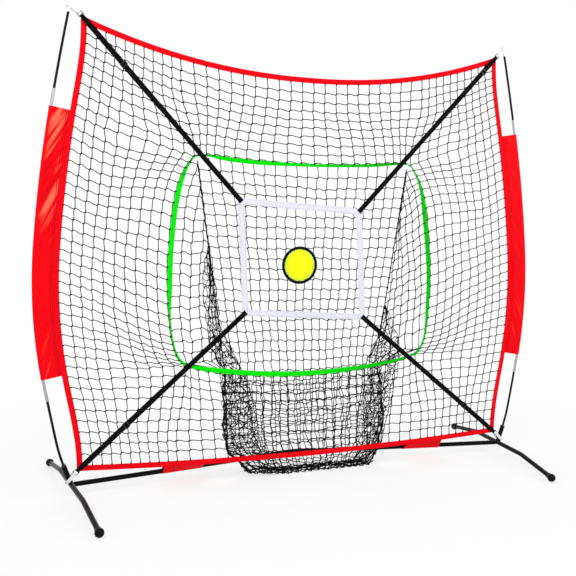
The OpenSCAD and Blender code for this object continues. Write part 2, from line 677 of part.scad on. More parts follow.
// The right post, for the side whose loop it carries: sx is 1 or -1
module post(sx) {
    difference() {
        in_post() linear_extrude(post_length) tube_ring(tube_r, bore_r);
        foot_cut();
        low_hook(sx) rotate([0, 90, 0]) cylinder(d = rivet_shank + 2 * weld_gap, h = tube_d);
    }
}
module stub() {
    difference() {
        at_hub() rotate([0, -90, 0]) linear_extrude(bar_start + stub_length)
            tube_ring(stub_r, stub_r - tube_wall);
        foot_cut();
        at_hub() translate([-bar_start - button_inset, 0, 0]) button_hole();
    }
}
module button_hole() { cylinder(d = button_d + 2 * button_gap, h = tube_d); }
module hub(sx) {
    color("#1c1c1e") {
        post(sx);
        stub();
    }
}
module right_hub() { hub(1); }
module left_hub() { flipped() hub(-1); }
bar_run = half_span / cos(sweep);
elbow_tangent = elbow_r * tan(sweep);
bar_end = bar_run - elbow_tangent - 0.5;
module crossbar() {
    color("#141416") at_hub() difference() {
        translate([-bar_start, 0, 0]) rotate([0, -90, 0]) linear_extrude(bar_end - bar_start)
            tube_ring(tube_r, bore_r);
        translate([-bar_start - button_inset, 0, 0]) button_hole();
        translate([-bar_end + button_inset, 0, 0]) button_hole();
    }
}
module right_crossbar() { crossbar(); }
module left_crossbar() { flipped() crossbar(); }
apex_y = half_span * tan(sweep);
elbow_in = tube_r + tube_gap + band;
elbow_out = elbow_in + elbow_wall;
module elbow() {
    color("#1c1c1e") difference() {
        translate([0, apex_y + elbow_r * (1 - 1 / cos(sweep)), bar_height]) {
            translate([0, -elbow_r, 0]) rotate([0, 0, sweep]) translate([0, elbow_r, 0])
                pipe_bend(elbow_r, 2 * sweep, elbow_out, elbow_in);
            both() past_bend(elbow_r, sweep) {
                pipe_band(elbow_out, elbow_in);
                straight_pipe(band_break / 2, elbow_arm, elbow_out, elbow_in);
            }
        }
        both() at_hub() translate([-bar_end + button_inset, 0, 0]) button_hole();
    }
}
// A snap button has a flange that its spring presses up against the bore
button_flange_d = button_d + 3;
button_flange = 1.5;
function flange_top(r) = sqrt(r * r - pow(button_flange_d / 2, 2)) - 0.1;
module button(in_r, out_r) {
    top = out_r + button_proud;
    low = flange_top(in_r) - button_flange;
    color("#c9ccd0") {
        translate([0, 0, low]) cylinder(d = button_flange_d, h = button_flange);
        translate([0, 0, low]) cylinder(d = button_d, h = top - 1 - low);
        translate([0, 0, top - 1]) cylinder(d1 = button_d, d2 = button_d - 2, h = 1);
    }
}
// The spring is a strip folded into a V along the tube
spring_w = 5;
spring_length = 26;
module button_spring(in_r) {
    top = flange_top(in_r) - button_flange;
    low = -sqrt(in_r * in_r - pow(spring_w / 2, 2)) + 0.1;
    color("#8d9196") translate([0, spring_w / 2, 0]) rotate([90, 0, 0]) linear_extrude(spring_w)
        polygon([[2.5, top], [-2.5, top], [-spring_length, low + spring_strip], [-spring_length, low],
            [2.5, low], [2.5, low + spring_strip], [2 * spring_strip - spring_length, low + spring_strip],
            [-2.5, top - spring_strip], [2.5, top - spring_strip]]);
}
module at_hub_button() { at_hub() translate([-bar_start - button_inset, 0, 0]) children(); }
module at_elbow_button() { at_hub() translate([-bar_end + button_inset, 0, 0]) children(); }
stub_bore = stub_r - tube_wall;
module right_hub_button() { at_hub_button() button(stub_bore, tube_r); }
module left_hub_button() { flipped() at_hub_button() button(stub_bore, tube_r); }
module right_elbow_button() { at_elbow_button() button(bore_r, elbow_out); }
module left_elbow_button() { flipped() at_elbow_button() button(bore_r, elbow_out); }
module right_hub_spring() { at_hub_button() button_spring(stub_bore); }
module left_hub_spring() { flipped() at_hub_button() button_spring(stub_bore); }
module right_elbow_spring() { at_elbow_button() rotate([0, 0, 180]) button_spring(bore_r); }
module left_elbow_spring() { flipped() at_elbow_button() rotate([0, 0, 180]) button_spring(bore_r); }

// ---- Poles -------------------------------------------------------------
// The first child, drawn round the pole's axis with X away from the net, runs
// along the pole between two places. The second, a little larger, makes the
// band that joins two arcs.
pole_band = 0.15;
module on_pole(from, to) {
    for (i = [0 : 4]) {
        a = i == 0 || from > run_to(i) ? from : run_to(i) + band_break / 2;
        b = i == 4 || to < run_to(i + 1) ? to : run_to(i + 1) - band_break / 2;
        if (a < b) pole_arc(i, a, b) children(0);
        if (i > 0 && from < run_to(i) && to > run_to(i))
            pole_arc(i, run_to(i) - band_length / 2, run_to(i) + band_length / 2) children(1);
    }
}
module pole_arc(i, a, b) {
    translate([arc_centre(i)[0], 0, arc_centre(i)[1]]) rotate([90, 0, 0])
        rotate([0, 0, -pole[i][2] + (a - run_to(i)) / arc_r(i) * 180 / PI])
            rotate_extrude(angle = (b - a) / arc_r(i) * 180 / PI, $fn = arc_facets)
                translate([arc_r(i), 0]) children();
}
arc_facets = 600;
module rod(from, to) {
    on_pole(from, to) {
        circle(d = rod_d, $fn = 48);
        circle(d = rod_d + 2 * pole_band, $fn = 48);
    }
}
module pole_tube(from, to, out_r, in_r) {
    on_pole(from, to) {
        tube_ring(out_r, in_r, $fn = 48);
        tube_ring(out_r + pole_band, in_r - pole_band, $fn = 48);
    }
}
rod_end_gap = 0.5;
low_joint = low_rod_length;
middle_joint = low_joint + middle_rod_length;
high_joint = middle_joint + middle_rod_length;
module low_rod() {
    color("#17181a") {
        in_post() translate([0, 0, post_length - rod_seat])
            cylinder(d = rod_d, h = rod_seat - band_break / 2);
        in_post() translate([0, 0, post_length - band_length / 2])
            cylinder(d = rod_d + 2 * pole_band, h = band_length);
        rod(band_break / 2, low_joint - rod_end_gap);
    }
}
module middle_rods() {
    color("#17181a") {
        rod(low_joint + rod_end_gap, middle_joint - rod_end_gap);
        rod(middle_joint + rod_end_gap, high_joint - rod_end_gap);
    }
}
top_rod_end = pole_length - tip_notch - 3;
module top_rod() {
    color("#17181a") rod(high_joint + rod_end_gap, top_rod_end - rod_end_gap);
}
module right_low_rod() { low_rod(); }
module left_low_rod() { flipped() low_rod(); }
module right_middle_rods() { middle_rods(); }
module left_middle_rods() { flipped() middle_rods(); }
module right_top_rod() { top_rod(); }
module left_top_rod() { flipped() top_rod(); }
rod_bore = rod_d / 2 + pole_band + rod_gap;
module ferrules() {
    color("#c4c8cc") for (s = [low_joint, middle_joint, high_joint])
        pole_tube(s - ferrule_length / 2, s + ferrule_length / 2, ferrule_d / 2, rod_bore);
}
module right_ferrules() { ferrules(); }
module left_ferrules() { flipped() ferrules(); }
// A tip cap has a notch across it for the corner's elastic
notch_w = 4;
module tip_cap() {
    tip = pole_point(pole_length);
    color("#d6d9dc") translate([tip[0], 0, tip[1]]) rotate([0, lean_at(pole_length), 0]) difference() {
        translate([0, 0, -tip_cap_length]) cylinder(d = ferrule_d, h = tip_cap_length);
        translate([0, 0, -tip_cap_length - 1])
            cylinder(r = rod_bore, h = tip_cap_length + 1 - (pole_length - top_rod_end));
        translate([-ferrule_d, -notch_w / 2, -tip_notch]) cube([2 * ferrule_d, notch_w, 2 * tip_notch]);
    }
}
module tip_caps() { both() tip_cap(); }
// A plastic plug in the post's mouth holds the pole
plug_length = 40;
plug_flange = 4;
module post_plugs() {
    color("#26272a") both() in_post() translate([0, 0, post_length]) rotate_extrude() {
        translate([rod_bore, -plug_length]) square([bore_r - rod_gap - rod_bore, plug_length + plug_flange]);
        translate([rod_bore, rod_gap]) square([tube_r - rod_bore, plug_flange - rod_gap]);
    }
}
// The sleeve's cloth goes round the pole and is stitched flat along the binding
sleeve_in = ferrule_d / 2 + sleeve_gap;
seam_at = sleeve_reach - hem_w / 2 - 0.4;
seam_half = 1.3;
arc_steps = 20;
// An outline round a circle at the origin, drawn in to a flat end at -reach
function drop_outline(r, reach, half) =
    let (a = 180 - atan(half / reach) - acos(r / norm([reach, half])))
    concat([for (k = [0 : arc_steps]) let (b = a * (1 - 2 * k / arc_steps)) r * [cos(b), sin(b)]],
        [[-reach, -half], [-reach, half]]);
module sleeve_profile(grow = 0) {
    difference() {
        polygon(drop_outline(sleeve_in + cloth_t + grow, seam_at, seam_half + grow));
        polygon(drop_outline(sleeve_in - grow, seam_at - 10, 0.15));
    }
}
module sleeve() {
    color("#e8102a") on_pole(sleeve_start, sleeve_end) {
        sleeve_profile();
        sleeve_profile(band);
    }
}
module right_sleeve() { sleeve(); }
module left_sleeve() { flipped() sleeve(); }

// ---- Crossbar wraps ----------------------------------------------------
// Each wrap is a band of the net's cloth, sewn behind the bottom binding and
// closed round the crossbar. Its outline leans from the bar to the binding.
wrap_in = tube_r + 0.7;
wrap_steps = 12;
wrap_stations = 6;
wrap_top_y = hem_t / 2 + layer_gap + cloth_t + 0.6;
function hem_low(x) = bottom_edge(0.5 + x / bottom_in[0] / 2)[1] - hem_w / 2;
function wrap_section(x, r, half, short) =
    let (c = [(half_span - x) * tan(sweep), bar_height], v = [wrap_top_y, hem_low(x)] - c,
        d = norm(v) - short, lean = atan2(v[1], v[0]), a = acos(r / d))
    concat([for (k = [0 : wrap_steps]) let (b = lean + a + (360 - 2 * a) * k / wrap_steps)
            [x, c[0] + r * cos(b), c[1] + r * sin(b)]],
        [for (s = [-1, 1]) [x, c[0] + d * cos(lean) - s * half * sin(lean),
            c[1] + d * sin(lean) + s * half * cos(lean)]]);
module bar_wrap(at) {
    x0 = half_span - (at + wrap_length / 2) * cos(sweep);
    x1 = half_span - (at - wrap_length / 2) * cos(sweep);
    n = wrap_steps + 3;
    last = 2 * wrap_stations + 1;
    function station(k) = x0 + (x1 - x0) * k / wrap_stations;
    function corner(loop, i) = loop * n + i % n;
    // outer and inner skins are split along the same diagonals
    function side(p, q, i) = p <= wrap_stations
        ? [[corner(p, i), corner(q, i + 1), corner(p, i + 1)], [corner(p, i), corner(q, i), corner(q, i + 1)]]
        : [[corner(p, i), corner(q, i), corner(p, i + 1)], [corner(p, i + 1), corner(q, i), corner(q, i + 1)]];
    color("#e8102a") polyhedron(
        concat([for (k = [0 : wrap_stations]) each wrap_section(station(k), wrap_in + cloth_t, 0.8, 0)],
            [for (k = [wrap_stations : -1 : 0]) each wrap_section(station(k), wrap_in, 0.2, 8)]),
        [for (p = [0 : last], i = [0 : n - 1]) each side(p, (p + 1) % (last + 1), i)]);
}
module bar_wraps() {
    bar_wrap(right_wrap_at);
    flipped() bar_wrap(left_wrap_at);
}

// ---- Strike zone and straps --------------------------------------------
// Layers of webbing, by the Y of their front faces
front_layer = -hem_t / 2 - 3 * (webbing_t + layer_gap) - layer_gap / 2;
middle_layer = front_layer + webbing_t + layer_gap;
tail_layer = middle_layer + webbing_t + layer_gap;
bar_layer = front_layer - webbing_t - layer_gap;
// A point of the strike zone, which the four straps pull slightly askew
function zone_at(x, z) = [zone_shift + x - z * tan(zone_lean), zone_z - x * tan(zone_turn) + z];
// A corner of the strike zone, where sx and sz are 1 or -1
function zone_corner(sx, sz, out = 0) = zone_at(sx * (zone_w / 2 + out), sz * (zone_h / 2 + out));
module strike_zone() {
    function ring(out) = [for (s = [[-1, -1], [1, -1], [1, 1], [-1, 1]]) zone_corner(s[0], s[1], out)];
    color("#e6e6f5") plate([ring(webbing_w / 2), ring(-webbing_w / 2)], webbing_t, middle_layer + webbing_t / 2);
}
function net_corner(sx, sz) = sz > 0 ? [sx * net_top_half, net_top] : [sx * net_bottom_half, net_bottom];
// A frame at a corner of the net, with X outwards along the strap
module at_corner(sx, sz) {
    k = net_corner(sx, sz);
    v = k - zone_corner(sx, sz);
    translate([k[0], 0, k[1]]) rotate([0, -atan2(v[1], v[0]), 0]) children();
}
function strap_length(sx, sz) = norm(net_corner(sx, sz) - zone_corner(sx, sz));
ring_in = -4;
ring_out = ring_in + ring_length + ring_bar;
strap_narrow = ring_w - 1;
strap_taper = 30;
fold_at = ring_in + 0.8;
module strap(sx, sz) {
    run = strap_length(sx, sz);
    at_corner(sx, sz) intersection() {
        // the outline from the side: the front, the fold round the ring and the tail
        translate([0, 0, -webbing_w]) linear_extrude(2 * webbing_w) {
            translate([fold_at - run, front_layer]) square([run, webbing_t]);
            translate([fold_at - strap_tail, tail_layer]) square([strap_tail, webbing_t]);
            translate([fold_at, (front_layer + tail_layer + webbing_t) / 2]) intersection() {
                tube_ring((tail_layer + webbing_t - front_layer) / 2, (tail_layer - front_layer - webbing_t) / 2);
                translate([0, -10]) square(20);
            }
        }
        // the outline from the front: webbing that narrows to pass the ring
        rotate([90, 0, 0]) translate([0, 0, -20]) linear_extrude(40) polygon([
            [10, -strap_narrow / 2], [ring_in - 6, -strap_narrow / 2],
            [ring_in - 6 - strap_taper, -webbing_w / 2], [-run - webbing_w, -webbing_w / 2],
            [-run - webbing_w, webbing_w / 2], [ring_in - 6 - strap_taper, webbing_w / 2],
            [ring_in - 6, strap_narrow / 2], [10, strap_narrow / 2]]);
    }
}
module upper_straps() { color("#1a1a1c") for (sx = [-1, 1]) strap(sx, 1); }
module lower_straps() { color("#1a1a1c") for (sx = [-1, 1]) strap(sx, -1); }
module corner_rings() {
    out_w = ring_w + 2 * ring_bar;
    in_y = middle_layer;
    color("#1d1d20") for (sx = [-1, 1], sz = [-1, 1]) at_corner(sx, sz) difference() {
        translate([ring_in - ring_bar / 2, in_y, -out_w / 2])
            cube([ring_length + 2 * ring_bar, webbing_t, out_w]);
        translate([ring_in + ring_bar / 2, in_y - 1, -ring_w / 2])
            cube([ring_length, webbing_t + 2, ring_w]);
    }
}
// A slider holds the strap between two bars in front and one behind
slider_rail = 2.5;
slider_gap = 0.4;
module slider(sx, sz, from_corner) {
    half = webbing_w / 2 + slider_gap;
    color("#1d1d20") at_corner(sx, sz) translate([-from_corner, 0, 0]) {
        for (side = [-1, 1]) translate([-slider_length / 2, bar_layer, side > 0 ? half : -half - slider_rail])
            cube([slider_length, middle_layer + webbing_t - bar_layer, slider_rail]);
        for (end = [-1, 1])
            translate([end * (slider_length - slider_bar) / 2 - slider_bar / 2, bar_layer, -half])
                cube([slider_bar, webbing_t, 2 * half]);
        translate([-slider_bar / 2, middle_layer, -half]) cube([slider_bar, webbing_t, 2 * half]);
    }
}
module slider_top_left() { slider(-1, 1, top_left_slider); }
module slider_top_right() { slider(1, 1, top_right_slider); }
module slider_bottom_left() { slider(-1, -1, bottom_left_slider); }
module slider_bottom_right() { slider(1, -1, bottom_right_slider); }

// ---- Corner loops ------------------------------------------------------
// A loop of elastic runs from the ring's outer bar round the tip of the pole,
// at the top, or round the post, at the bottom
ring_y = middle_layer + webbing_t / 2;
near_r = 4;
function ring_bar_at(sx, sz) =
    let (k = net_corner(sx, sz), v = unit(k - zone_corner(sx, sz))) k + ring_out * v;
// The outline round two circles, one at the origin and one at [reach, 0]
function belt(r1, r2, reach) =
    let (a = acos((r1 - r2) / reach))
    concat([for (k = [0 : arc_steps]) let (b = a + (360 - 2 * a) * k / arc_steps) r1 * [cos(b), sin(b)]],
        [for (k = [0 : arc_steps]) let (b = -a + 2 * a * k / arc_steps) [reach, 0] + r2 * [cos(b), sin(b)]]);
// The loop's frame has X from the ring to what it goes round, tilted back from
// the ring's layer to the middle of the pole
module loop_frame(sx, sz, to) {
    a = ring_bar_at(sx, sz);
    v = to - a;
    translate([a[0], ring_y, a[1]]) rotate([0, -atan2(v[1], v[0]), 0])
        rotate([0, 0, atan2(-ring_y, norm(v))]) children();
}
module elastic(sx, sz, to, far_r, beyond) {
    reach = norm(concat(to - ring_bar_at(sx, sz), ring_y)) + beyond;
    loop_frame(sx, sz, to) difference() {
        translate([0, 0, -loop_w / 2]) linear_extrude(loop_w) difference() {
            polygon(belt(near_r + loop_t, far_r + loop_t, reach));
            polygon(belt(near_r, far_r, reach));
        }
        if (sz < 0) translate([reach, 0, 0]) rotate([0, 90, 0])
            cylinder(d = rivet_shank + 2 * weld_gap, h = tube_d * 2);
    }
}
high_hook_at = pole_length - 24;
high_hook_point = pole_point(high_hook_at);
low_hook_point = [half_span + post_hook * sin(post_lean), bar_height + post_hook * cos(post_lean)];
// How far past the crossing each loop's far circle lies, and its radius
high_loop_r = ferrule_d / 2 + 1.3;
high_beyond = 4.2;
low_loop_r = tube_r + 4;
low_beyond = 3;
function to_side(sx, p) = [sx * p[0], p[1]];
module corner_loops() {
    color("#f2f2f2") for (sx = [-1, 1]) {
        elastic(sx, 1, to_side(sx, high_hook_point), high_loop_r, high_beyond);
        elastic(sx, -1, to_side(sx, low_hook_point), low_loop_r, low_beyond);
    }
}
// The right post's frame for the rivet that holds the lower loop of either
// side, with X outwards along the loop
module low_hook(sx) {
    near = ring_bar_at(sx, -1);
    v = low_hook_point - [abs(near[0]), near[1]];
    translate([low_hook_point[0], 0, low_hook_point[1]]) rotate([0, -atan2(v[1], v[0]), 0])
        rotate([0, 0, atan2(-ring_y, norm(v))]) children();
}
module loop_rivet(sx) {
    outside = low_beyond + low_loop_r + loop_t + weld_gap;
    low_hook(sx) rotate([0, 90, 0]) {
        translate([0, 0, bore_r + 1.2]) cylinder(d = rivet_shank, h = outside - bore_r);
        translate([0, 0, outside]) cylinder(d = 9, h = 2);
        translate([0, 0, outside + 2]) cylinder(d1 = 9, d2 = 6, h = 1);
    }
}
module loop_rivets() {
    color("#2a2a2d") {
        loop_rivet(1);
        flipped() loop_rivet(-1);
    }
}

right_foot();
left_foot();
right_front_ball();
right_rear_ball();
left_front_ball();
left_rear_ball();
right_hub();
left_hub();
right_crossbar();
left_crossbar();
elbow();
right_hub_button();
left_hub_button();
right_elbow_button();
left_elbow_button();
right_hub_spring();
left_hub_spring();
right_elbow_spring();
left_elbow_spring();
post_plugs();
right_low_rod();
left_low_rod();
right_middle_rods();
left_middle_rods();
right_top_rod();
left_top_rod();
right_ferrules();
left_ferrules();
tip_caps();
right_sleeve();
left_sleeve();
top_hem();
bottom_hem();
left_hem();
right_hem();
net_top();
net_bottom();
net_left();
net_right();
pocket_rim();
pocket_back();
pocket_front();
pocket_floor();
pocket_left_side();
pocket_right_side();
seam_cords();
target_pad();
target_ring();
strike_zone();
upper_straps();
lower_straps();
slider_top_left();
slider_top_right();
slider_bottom_left();
slider_bottom_right();
corner_rings();
corner_loops();
loop_rivets();
bar_wraps();
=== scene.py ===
import math

import bpy
import numpy as np
from mathutils import Matrix, Vector, noise


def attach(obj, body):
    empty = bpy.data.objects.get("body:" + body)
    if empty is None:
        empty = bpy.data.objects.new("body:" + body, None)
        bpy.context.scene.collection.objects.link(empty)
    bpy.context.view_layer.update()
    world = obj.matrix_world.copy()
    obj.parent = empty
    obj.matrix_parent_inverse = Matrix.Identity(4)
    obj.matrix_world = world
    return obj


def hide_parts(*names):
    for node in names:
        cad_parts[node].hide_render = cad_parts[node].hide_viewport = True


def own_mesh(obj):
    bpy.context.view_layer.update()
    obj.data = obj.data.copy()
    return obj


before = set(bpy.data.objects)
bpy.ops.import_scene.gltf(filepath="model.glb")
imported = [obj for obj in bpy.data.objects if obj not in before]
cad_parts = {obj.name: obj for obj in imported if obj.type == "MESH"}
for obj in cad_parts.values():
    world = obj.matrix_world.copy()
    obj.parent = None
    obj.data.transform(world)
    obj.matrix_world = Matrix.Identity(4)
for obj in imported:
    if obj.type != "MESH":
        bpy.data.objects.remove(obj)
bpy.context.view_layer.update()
rootBody = "frame_and_net"
mm = 0.001

camera = {
    "place": (-1.3778, -3.4644, 1.1288),
    "yaw": 20.254,  # degrees, from +Y towards +X
    "pitch": -2.87,
    "roll": 0.348,
    "lens": 48.76,
    "shift": (0.0009, -0.0172),
}


def addCamera():
    yaw, pitch, roll = (math.radians(camera[k]) for k in ("yaw", "pitch", "roll"))
    level = math.cos(pitch)
    ahead = Vector((math.sin(yaw) * level, math.cos(yaw) * level, math.sin(pitch)))
    right = Vector((math.cos(yaw), -math.sin(yaw), 0))
    up = right.cross(ahead)
    turned, tipped = math.cos(roll), math.sin(roll)
    right, up = right * turned + up * tipped, up * turned - right * tipped
    turn = Matrix((right, up, -ahead)).transposed().to_4x4()
    bpy.ops.object.camera_add(location=camera["place"])
    eye = bpy.context.object
    eye.name = "viewCamera"
    eye.rotation_euler = turn.to_euler()
    eye.data.sensor_width = 36
    eye.data.lens = camera["lens"]
    eye.data.shift_x, eye.data.shift_y = camera["shift"]
    eye.data.clip_end = 60
    bpy.context.scene.camera = eye


addCamera()
print("camera set")


def rgb(red, green, blue):
    return tuple(c / 12.92 if c <= 0.04045 else ((c + 0.055) / 1.055) ** 2.4
                 for c in (red / 255, green / 255, blue / 255)) + (1.0,)


class Finish:  # one material and its nodes, built up a layer at a time
    def __init__(self, name, colour, roughness, metallic, specular):
        self.material = bpy.data.materials.new(name)
        self.material.use_nodes = True
        self.tree = self.material.node_tree
        self.shader = self.tree.nodes["Principled BSDF"]
        self.colour, self.roughness = colour, roughness
        self.places = {}
        self.feed(self.shader, {"Base Color": colour, "Roughness": roughness, "Metallic": metallic,
                                "Specular IOR Level": specular})

    def feed(self, node, inputs):  # inputs by name or number, each a value or another node's socket
        for key, value in inputs.items():
            if isinstance(value, bpy.types.NodeSocket):
                self.tree.links.new(value, node.inputs[key])
            else:
                node.inputs[key].default_value = value
        return self

    def node(self, kind, inputs, **settings):
        made = self.tree.nodes.new("ShaderNode" + kind)
        for key, value in settings.items():
            setattr(made, key, value)
        self.feed(made, inputs)
        return made

    def coordinates(self, kind="Object"):
        if kind not in self.places:
            self.places[kind] = self.node("TexCoord", {}).outputs[kind]
        return self.places[kind]

    def math(self, operation, a, b=0.0):
        return self.node("Math", {0: a, 1: b}, operation=operation).outputs[0]

    def noise(self, scale, detail, stretch=None):
        place = self.coordinates()
        if stretch:
            place = self.node("Mapping", {"Vector": place, "Scale": stretch}).outputs[0]
        return self.node("TexNoise", {"Vector": place, "Scale": scale, "Detail": detail}).outputs["Fac"]

    def ranged(self, value, low, high, toLow, toHigh):
        return self.node("MapRange", {"Value": value, "From Min": low, "From Max": high,
                                      "To Min": toLow, "To Max": toHigh}).outputs["Result"]

    def tint(self, mask, colour):  # mixes a colour in where the mask is 1
        base = self.shader.inputs["Base Color"]
        under = base.links[0].from_socket if base.links else self.colour
        mix = self.node("Mix", {"Factor": mask, 6: under, 7: colour}, data_type="RGBA")
        return self.feed(self.shader, {"Base Color": mix.outputs[2]})

    def mottled(self, scale, darker, share=0.5, stretch=None):
        colour = tuple(c * darker for c in self.colour[:3]) + (1.0,)
        return self.tint(self.ranged(self.noise(scale, 4.0, stretch), 0.35, 0.7, 0.0, share), colour)

    def uneven(self, scale, spread, stretch=None):  # roughness that varies over the surface
        low, high = max(0.03, self.roughness - spread), min(1.0, self.roughness + spread)
        cloud = self.noise(scale, 4.0, stretch)
        return self.feed(self.shader, {"Roughness": self.ranged(cloud, 0.3, 0.7, low, high)})

    def raised(self, height, depth, strength=1.0):  # on top of the relief that is there
        inputs = {"Strength": strength, "Distance": depth, "Height": height}
        normal = self.shader.inputs["Normal"]
        if normal.links:
            inputs["Normal"] = normal.links[0].from_socket
        return self.feed(self.shader, {"Normal": self.node("Bump", inputs).outputs["Normal"]})

    def grained(self, scale, depth, stretch=None, strength=1.0):
        return self.raised(self.noise(scale, 3.0, stretch), depth, strength)

    def woven(self, warp, weft, depth):  # ridges a warp and a weft apart, in metres
        ridges = [self.node("TexWave", {"Vector": self.coordinates("UV"), "Scale": 2 * math.pi / 20 / pitch,
                                        "Distortion": 0.4, "Detail": 1.0, "Detail Scale": 1.5},
                            bands_direction=axis).outputs["Fac"] for axis, pitch in (("X", warp), ("Y", weft))]
        return self.raised(self.math("MULTIPLY", *ridges), depth, 0.7)

    def attribute(self, name):
        return self.node("Attribute", {}, attribute_name=name).outputs["Fac"]

    def edged(self, colour):  # painted shade: a greener, darker yellow towards the edge, from the edge share stored with the piece, where the pad's dome turns from the light
        return self.tint(self.ranged(self.attribute("edge"), 0.6, 1.0, 0.0, 0.75), colour)

    def crested(self, highlight, dark):  # painted highlight on the folds' crests and painted shade in their troughs, from the folds' crest value stored with the cloth
        crest = self.attribute("crest")
        self.tint(self.ranged(crest, 0.5, 0.05, 0.0, 0.6), dark)
        return self.tint(self.ranged(crest, 0.56, 0.92, 0.0, 0.9), highlight)

    def split(self, kind):
        return self.node("SeparateXYZ", {"Vector": self.coordinates(kind)}).outputs

    def fading(self, low, high, share, colour):  # painted shade: a darker colour that comes in from left to right, for the part turned away from the light
        return self.tint(self.ranged(self.split("Object")["X"], low, high, 0.0, share), colour)

    def stitches(self, rows, pitch, thread, dark=None, width=0.0007, depth=0.0005, sewnShare=0.62):
        along, across, _ = self.split("UV")
        dash = self.math("LESS_THAN", self.math("FRACT", self.math("DIVIDE", along, pitch)), sewnShare)
        line = None
        for row in rows:
            near = self.math("LESS_THAN", self.math("ABSOLUTE", self.math("SUBTRACT", across, row)), width)
            line = near if line is None else self.math("MAXIMUM", line, near)
        if dark:
            self.tint(line, dark)
        sewn = self.math("MULTIPLY", line, dash)
        return self.tint(sewn, thread).raised(sewn, depth, 0.8)

    def sheen(self, weight, roughness, tint=(1, 1, 1, 1)):
        return self.feed(self.shader, {"Sheen Weight": weight, "Sheen Roughness": roughness,
                                       "Sheen Tint": tint})

    def coat(self, weight, roughness):
        return self.feed(self.shader, {"Coat Weight": weight, "Coat Roughness": roughness})


finishes = {}


def finish(name, colour, roughness, metallic=0.0, specular=0.5, **coats):
    # the layers go on in the order in which they are given
    made = Finish(name, rgb(*colour), roughness, metallic, specular)
    for layer, values in coats.items():
        getattr(made, layer)(*values)
    finishes[name] = made.material
    return made


finish("footEnamel", (13, 7, 7), 0.26, 0, 0.05, mottled=(30, 0.6, 0.6), uneven=(60, 0.1),
       grained=(900, 0.00015), coat=(0.04, 0.08))
finish("fittingEnamel", (10, 9, 10), 0.28, 0, 0.05, mottled=(40, 0.6), uneven=(80, 0.08),
       grained=(1100, 0.00012), coat=(0.04, 0.1))
finish("crossbarEnamel", (7, 6, 7), 0.2, 0, 0.05, mottled=(25, 0.6), uneven=(50, 0.08, (0.3, 1, 1)),
       grained=(900, 0.0001), coat=(0.05, 0.06))
finish("ballRubber", (7, 6, 7), 0.18, 0, 0.07, mottled=(60, 0.5, 0.6), uneven=(120, 0.1),
       grained=(1500, 0.00012), coat=(0.05, 0.1))
finish("buttonSteel", (200, 203, 208), 0.25, 1, uneven=(300, 0.1), mottled=(200, 0.8), grained=(2500, 0.00005))
finish("springSteel", (140, 145, 150), 0.35, 1, uneven=(300, 0.1), mottled=(150, 0.7),
       grained=(1800, 0.00006, (0.2, 1, 1)))
finish("plugPlastic", (34, 35, 38), 0.5, mottled=(120, 0.7), uneven=(200, 0.08), grained=(1400, 0.0001))
finish("rodFibreglass", (11, 11, 12), 0.3, 0, 0.06, mottled=(90, 0.5, 0.7, (1, 1, 0.05)),
       uneven=(120, 0.1, (1, 1, 0.05)), grained=(800, 0.00015, (1, 1, 0.03)), coat=(0.06, 0.2))
finish("ferruleSteel", (172, 176, 178), 0.3, 0.85, mottled=(70, 0.86, 0.5, (1, 1, 0.2)),
       uneven=(150, 0.08, (1, 1, 0.1)), grained=(1600, 0.00006, (1, 1, 0.04)))
finish("tipPlastic", (222, 225, 228), 0.3, 0.6, mottled=(90, 0.9), uneven=(150, 0.08), grained=(1600, 0.00006))
# the salmon on the fold crests is painted highlight and the deep red in the troughs is painted shade
finish("sleeveSatin", (240, 6, 20), 0.32, 0, 0.04, mottled=(14, 0.86, 0.5, (1, 1, 0.5)),
       crested=(rgb(255, 112, 84), rgb(196, 4, 18)), uneven=(25, 0.08), woven=(0.0011, 0.0008, 0.00012),
       grained=(120, 0.0006, None, 0.5),
       stitches=((0.0045, 0.0125, 0.1772), 0.0062, rgb(128, 6, 14), rgb(206, 6, 20), 0.001, 0.0004),
       sheen=(0.01, 0.35, rgb(255, 170, 150)))
finish("hemBinding", (244, 5, 22), 0.55, 0, 0.03, mottled=(45, 0.78), uneven=(60, 0.08),
       woven=(0.0012, 0.0009, 0.00018), grained=(160, 0.0006, None, 0.5),
       stitches=((0.0034, 0.0205), 0.0046, rgb(196, 30, 38), rgb(190, 6, 20)),
       sheen=(0.01, 0.5, rgb(255, 150, 140)))
finish("wrapCloth", (242, 6, 22), 0.55, 0, 0.03, mottled=(40, 0.75), uneven=(60, 0.08),
       woven=(0.0011, 0.0008, 0.00015), grained=(130, 0.0008, None, 0.5),
       stitches=((0.004, 0.158), 0.0044, rgb(250, 110, 112), rgb(180, 8, 22)),
       sheen=(0.02, 0.45, rgb(255, 150, 140)))
for cord, colour in (("netCord", (19, 19, 21)), ("pocketNet", (18, 18, 20))):
    finish(cord, colour, 0.78, 0, 0.06, mottled=(260, 0.55, 0.7), uneven=(300, 0.12),
           grained=(1700, 0.0004, None, 0.8), sheen=(0.04, 0.6, rgb(150, 150, 155)))
finish("seamCord", (15, 15, 16), 0.8, 0, 0.06, mottled=(300, 0.5, 0.8), uneven=(300, 0.1),
       grained=(1900, 0.0005, None, 0.9), sheen=(0.03, 0.6, rgb(140, 140, 145)))
# the darker green that comes in towards the right is painted shade, where the ribbon's right run turns from the
# light
finish("rimRibbon", (2, 228, 8), 0.5, 0, 0.03, mottled=(50, 0.85), fading=(0.0, 0.42, 0.62, rgb(10, 160, 18)),
       uneven=(60, 0.08), woven=(0.0014, 0.001, 0.00022), grained=(150, 0.0006, None, 0.4),
       stitches=((-0.0098, 0.0098), 0.0046, rgb(120, 240, 120), rgb(8, 160, 18)),
       sheen=(0.02, 0.5, rgb(180, 255, 180)))
finish("zoneWebbing", (226, 226, 240), 0.6, 0, 0.08, mottled=(60, 0.92), uneven=(80, 0.08),
       woven=(0.0018, 0.0014, 0.0004), stitches=((-0.0105, 0.0105), 0.004, rgb(206, 206, 226)),
       sheen=(0.15, 0.5))
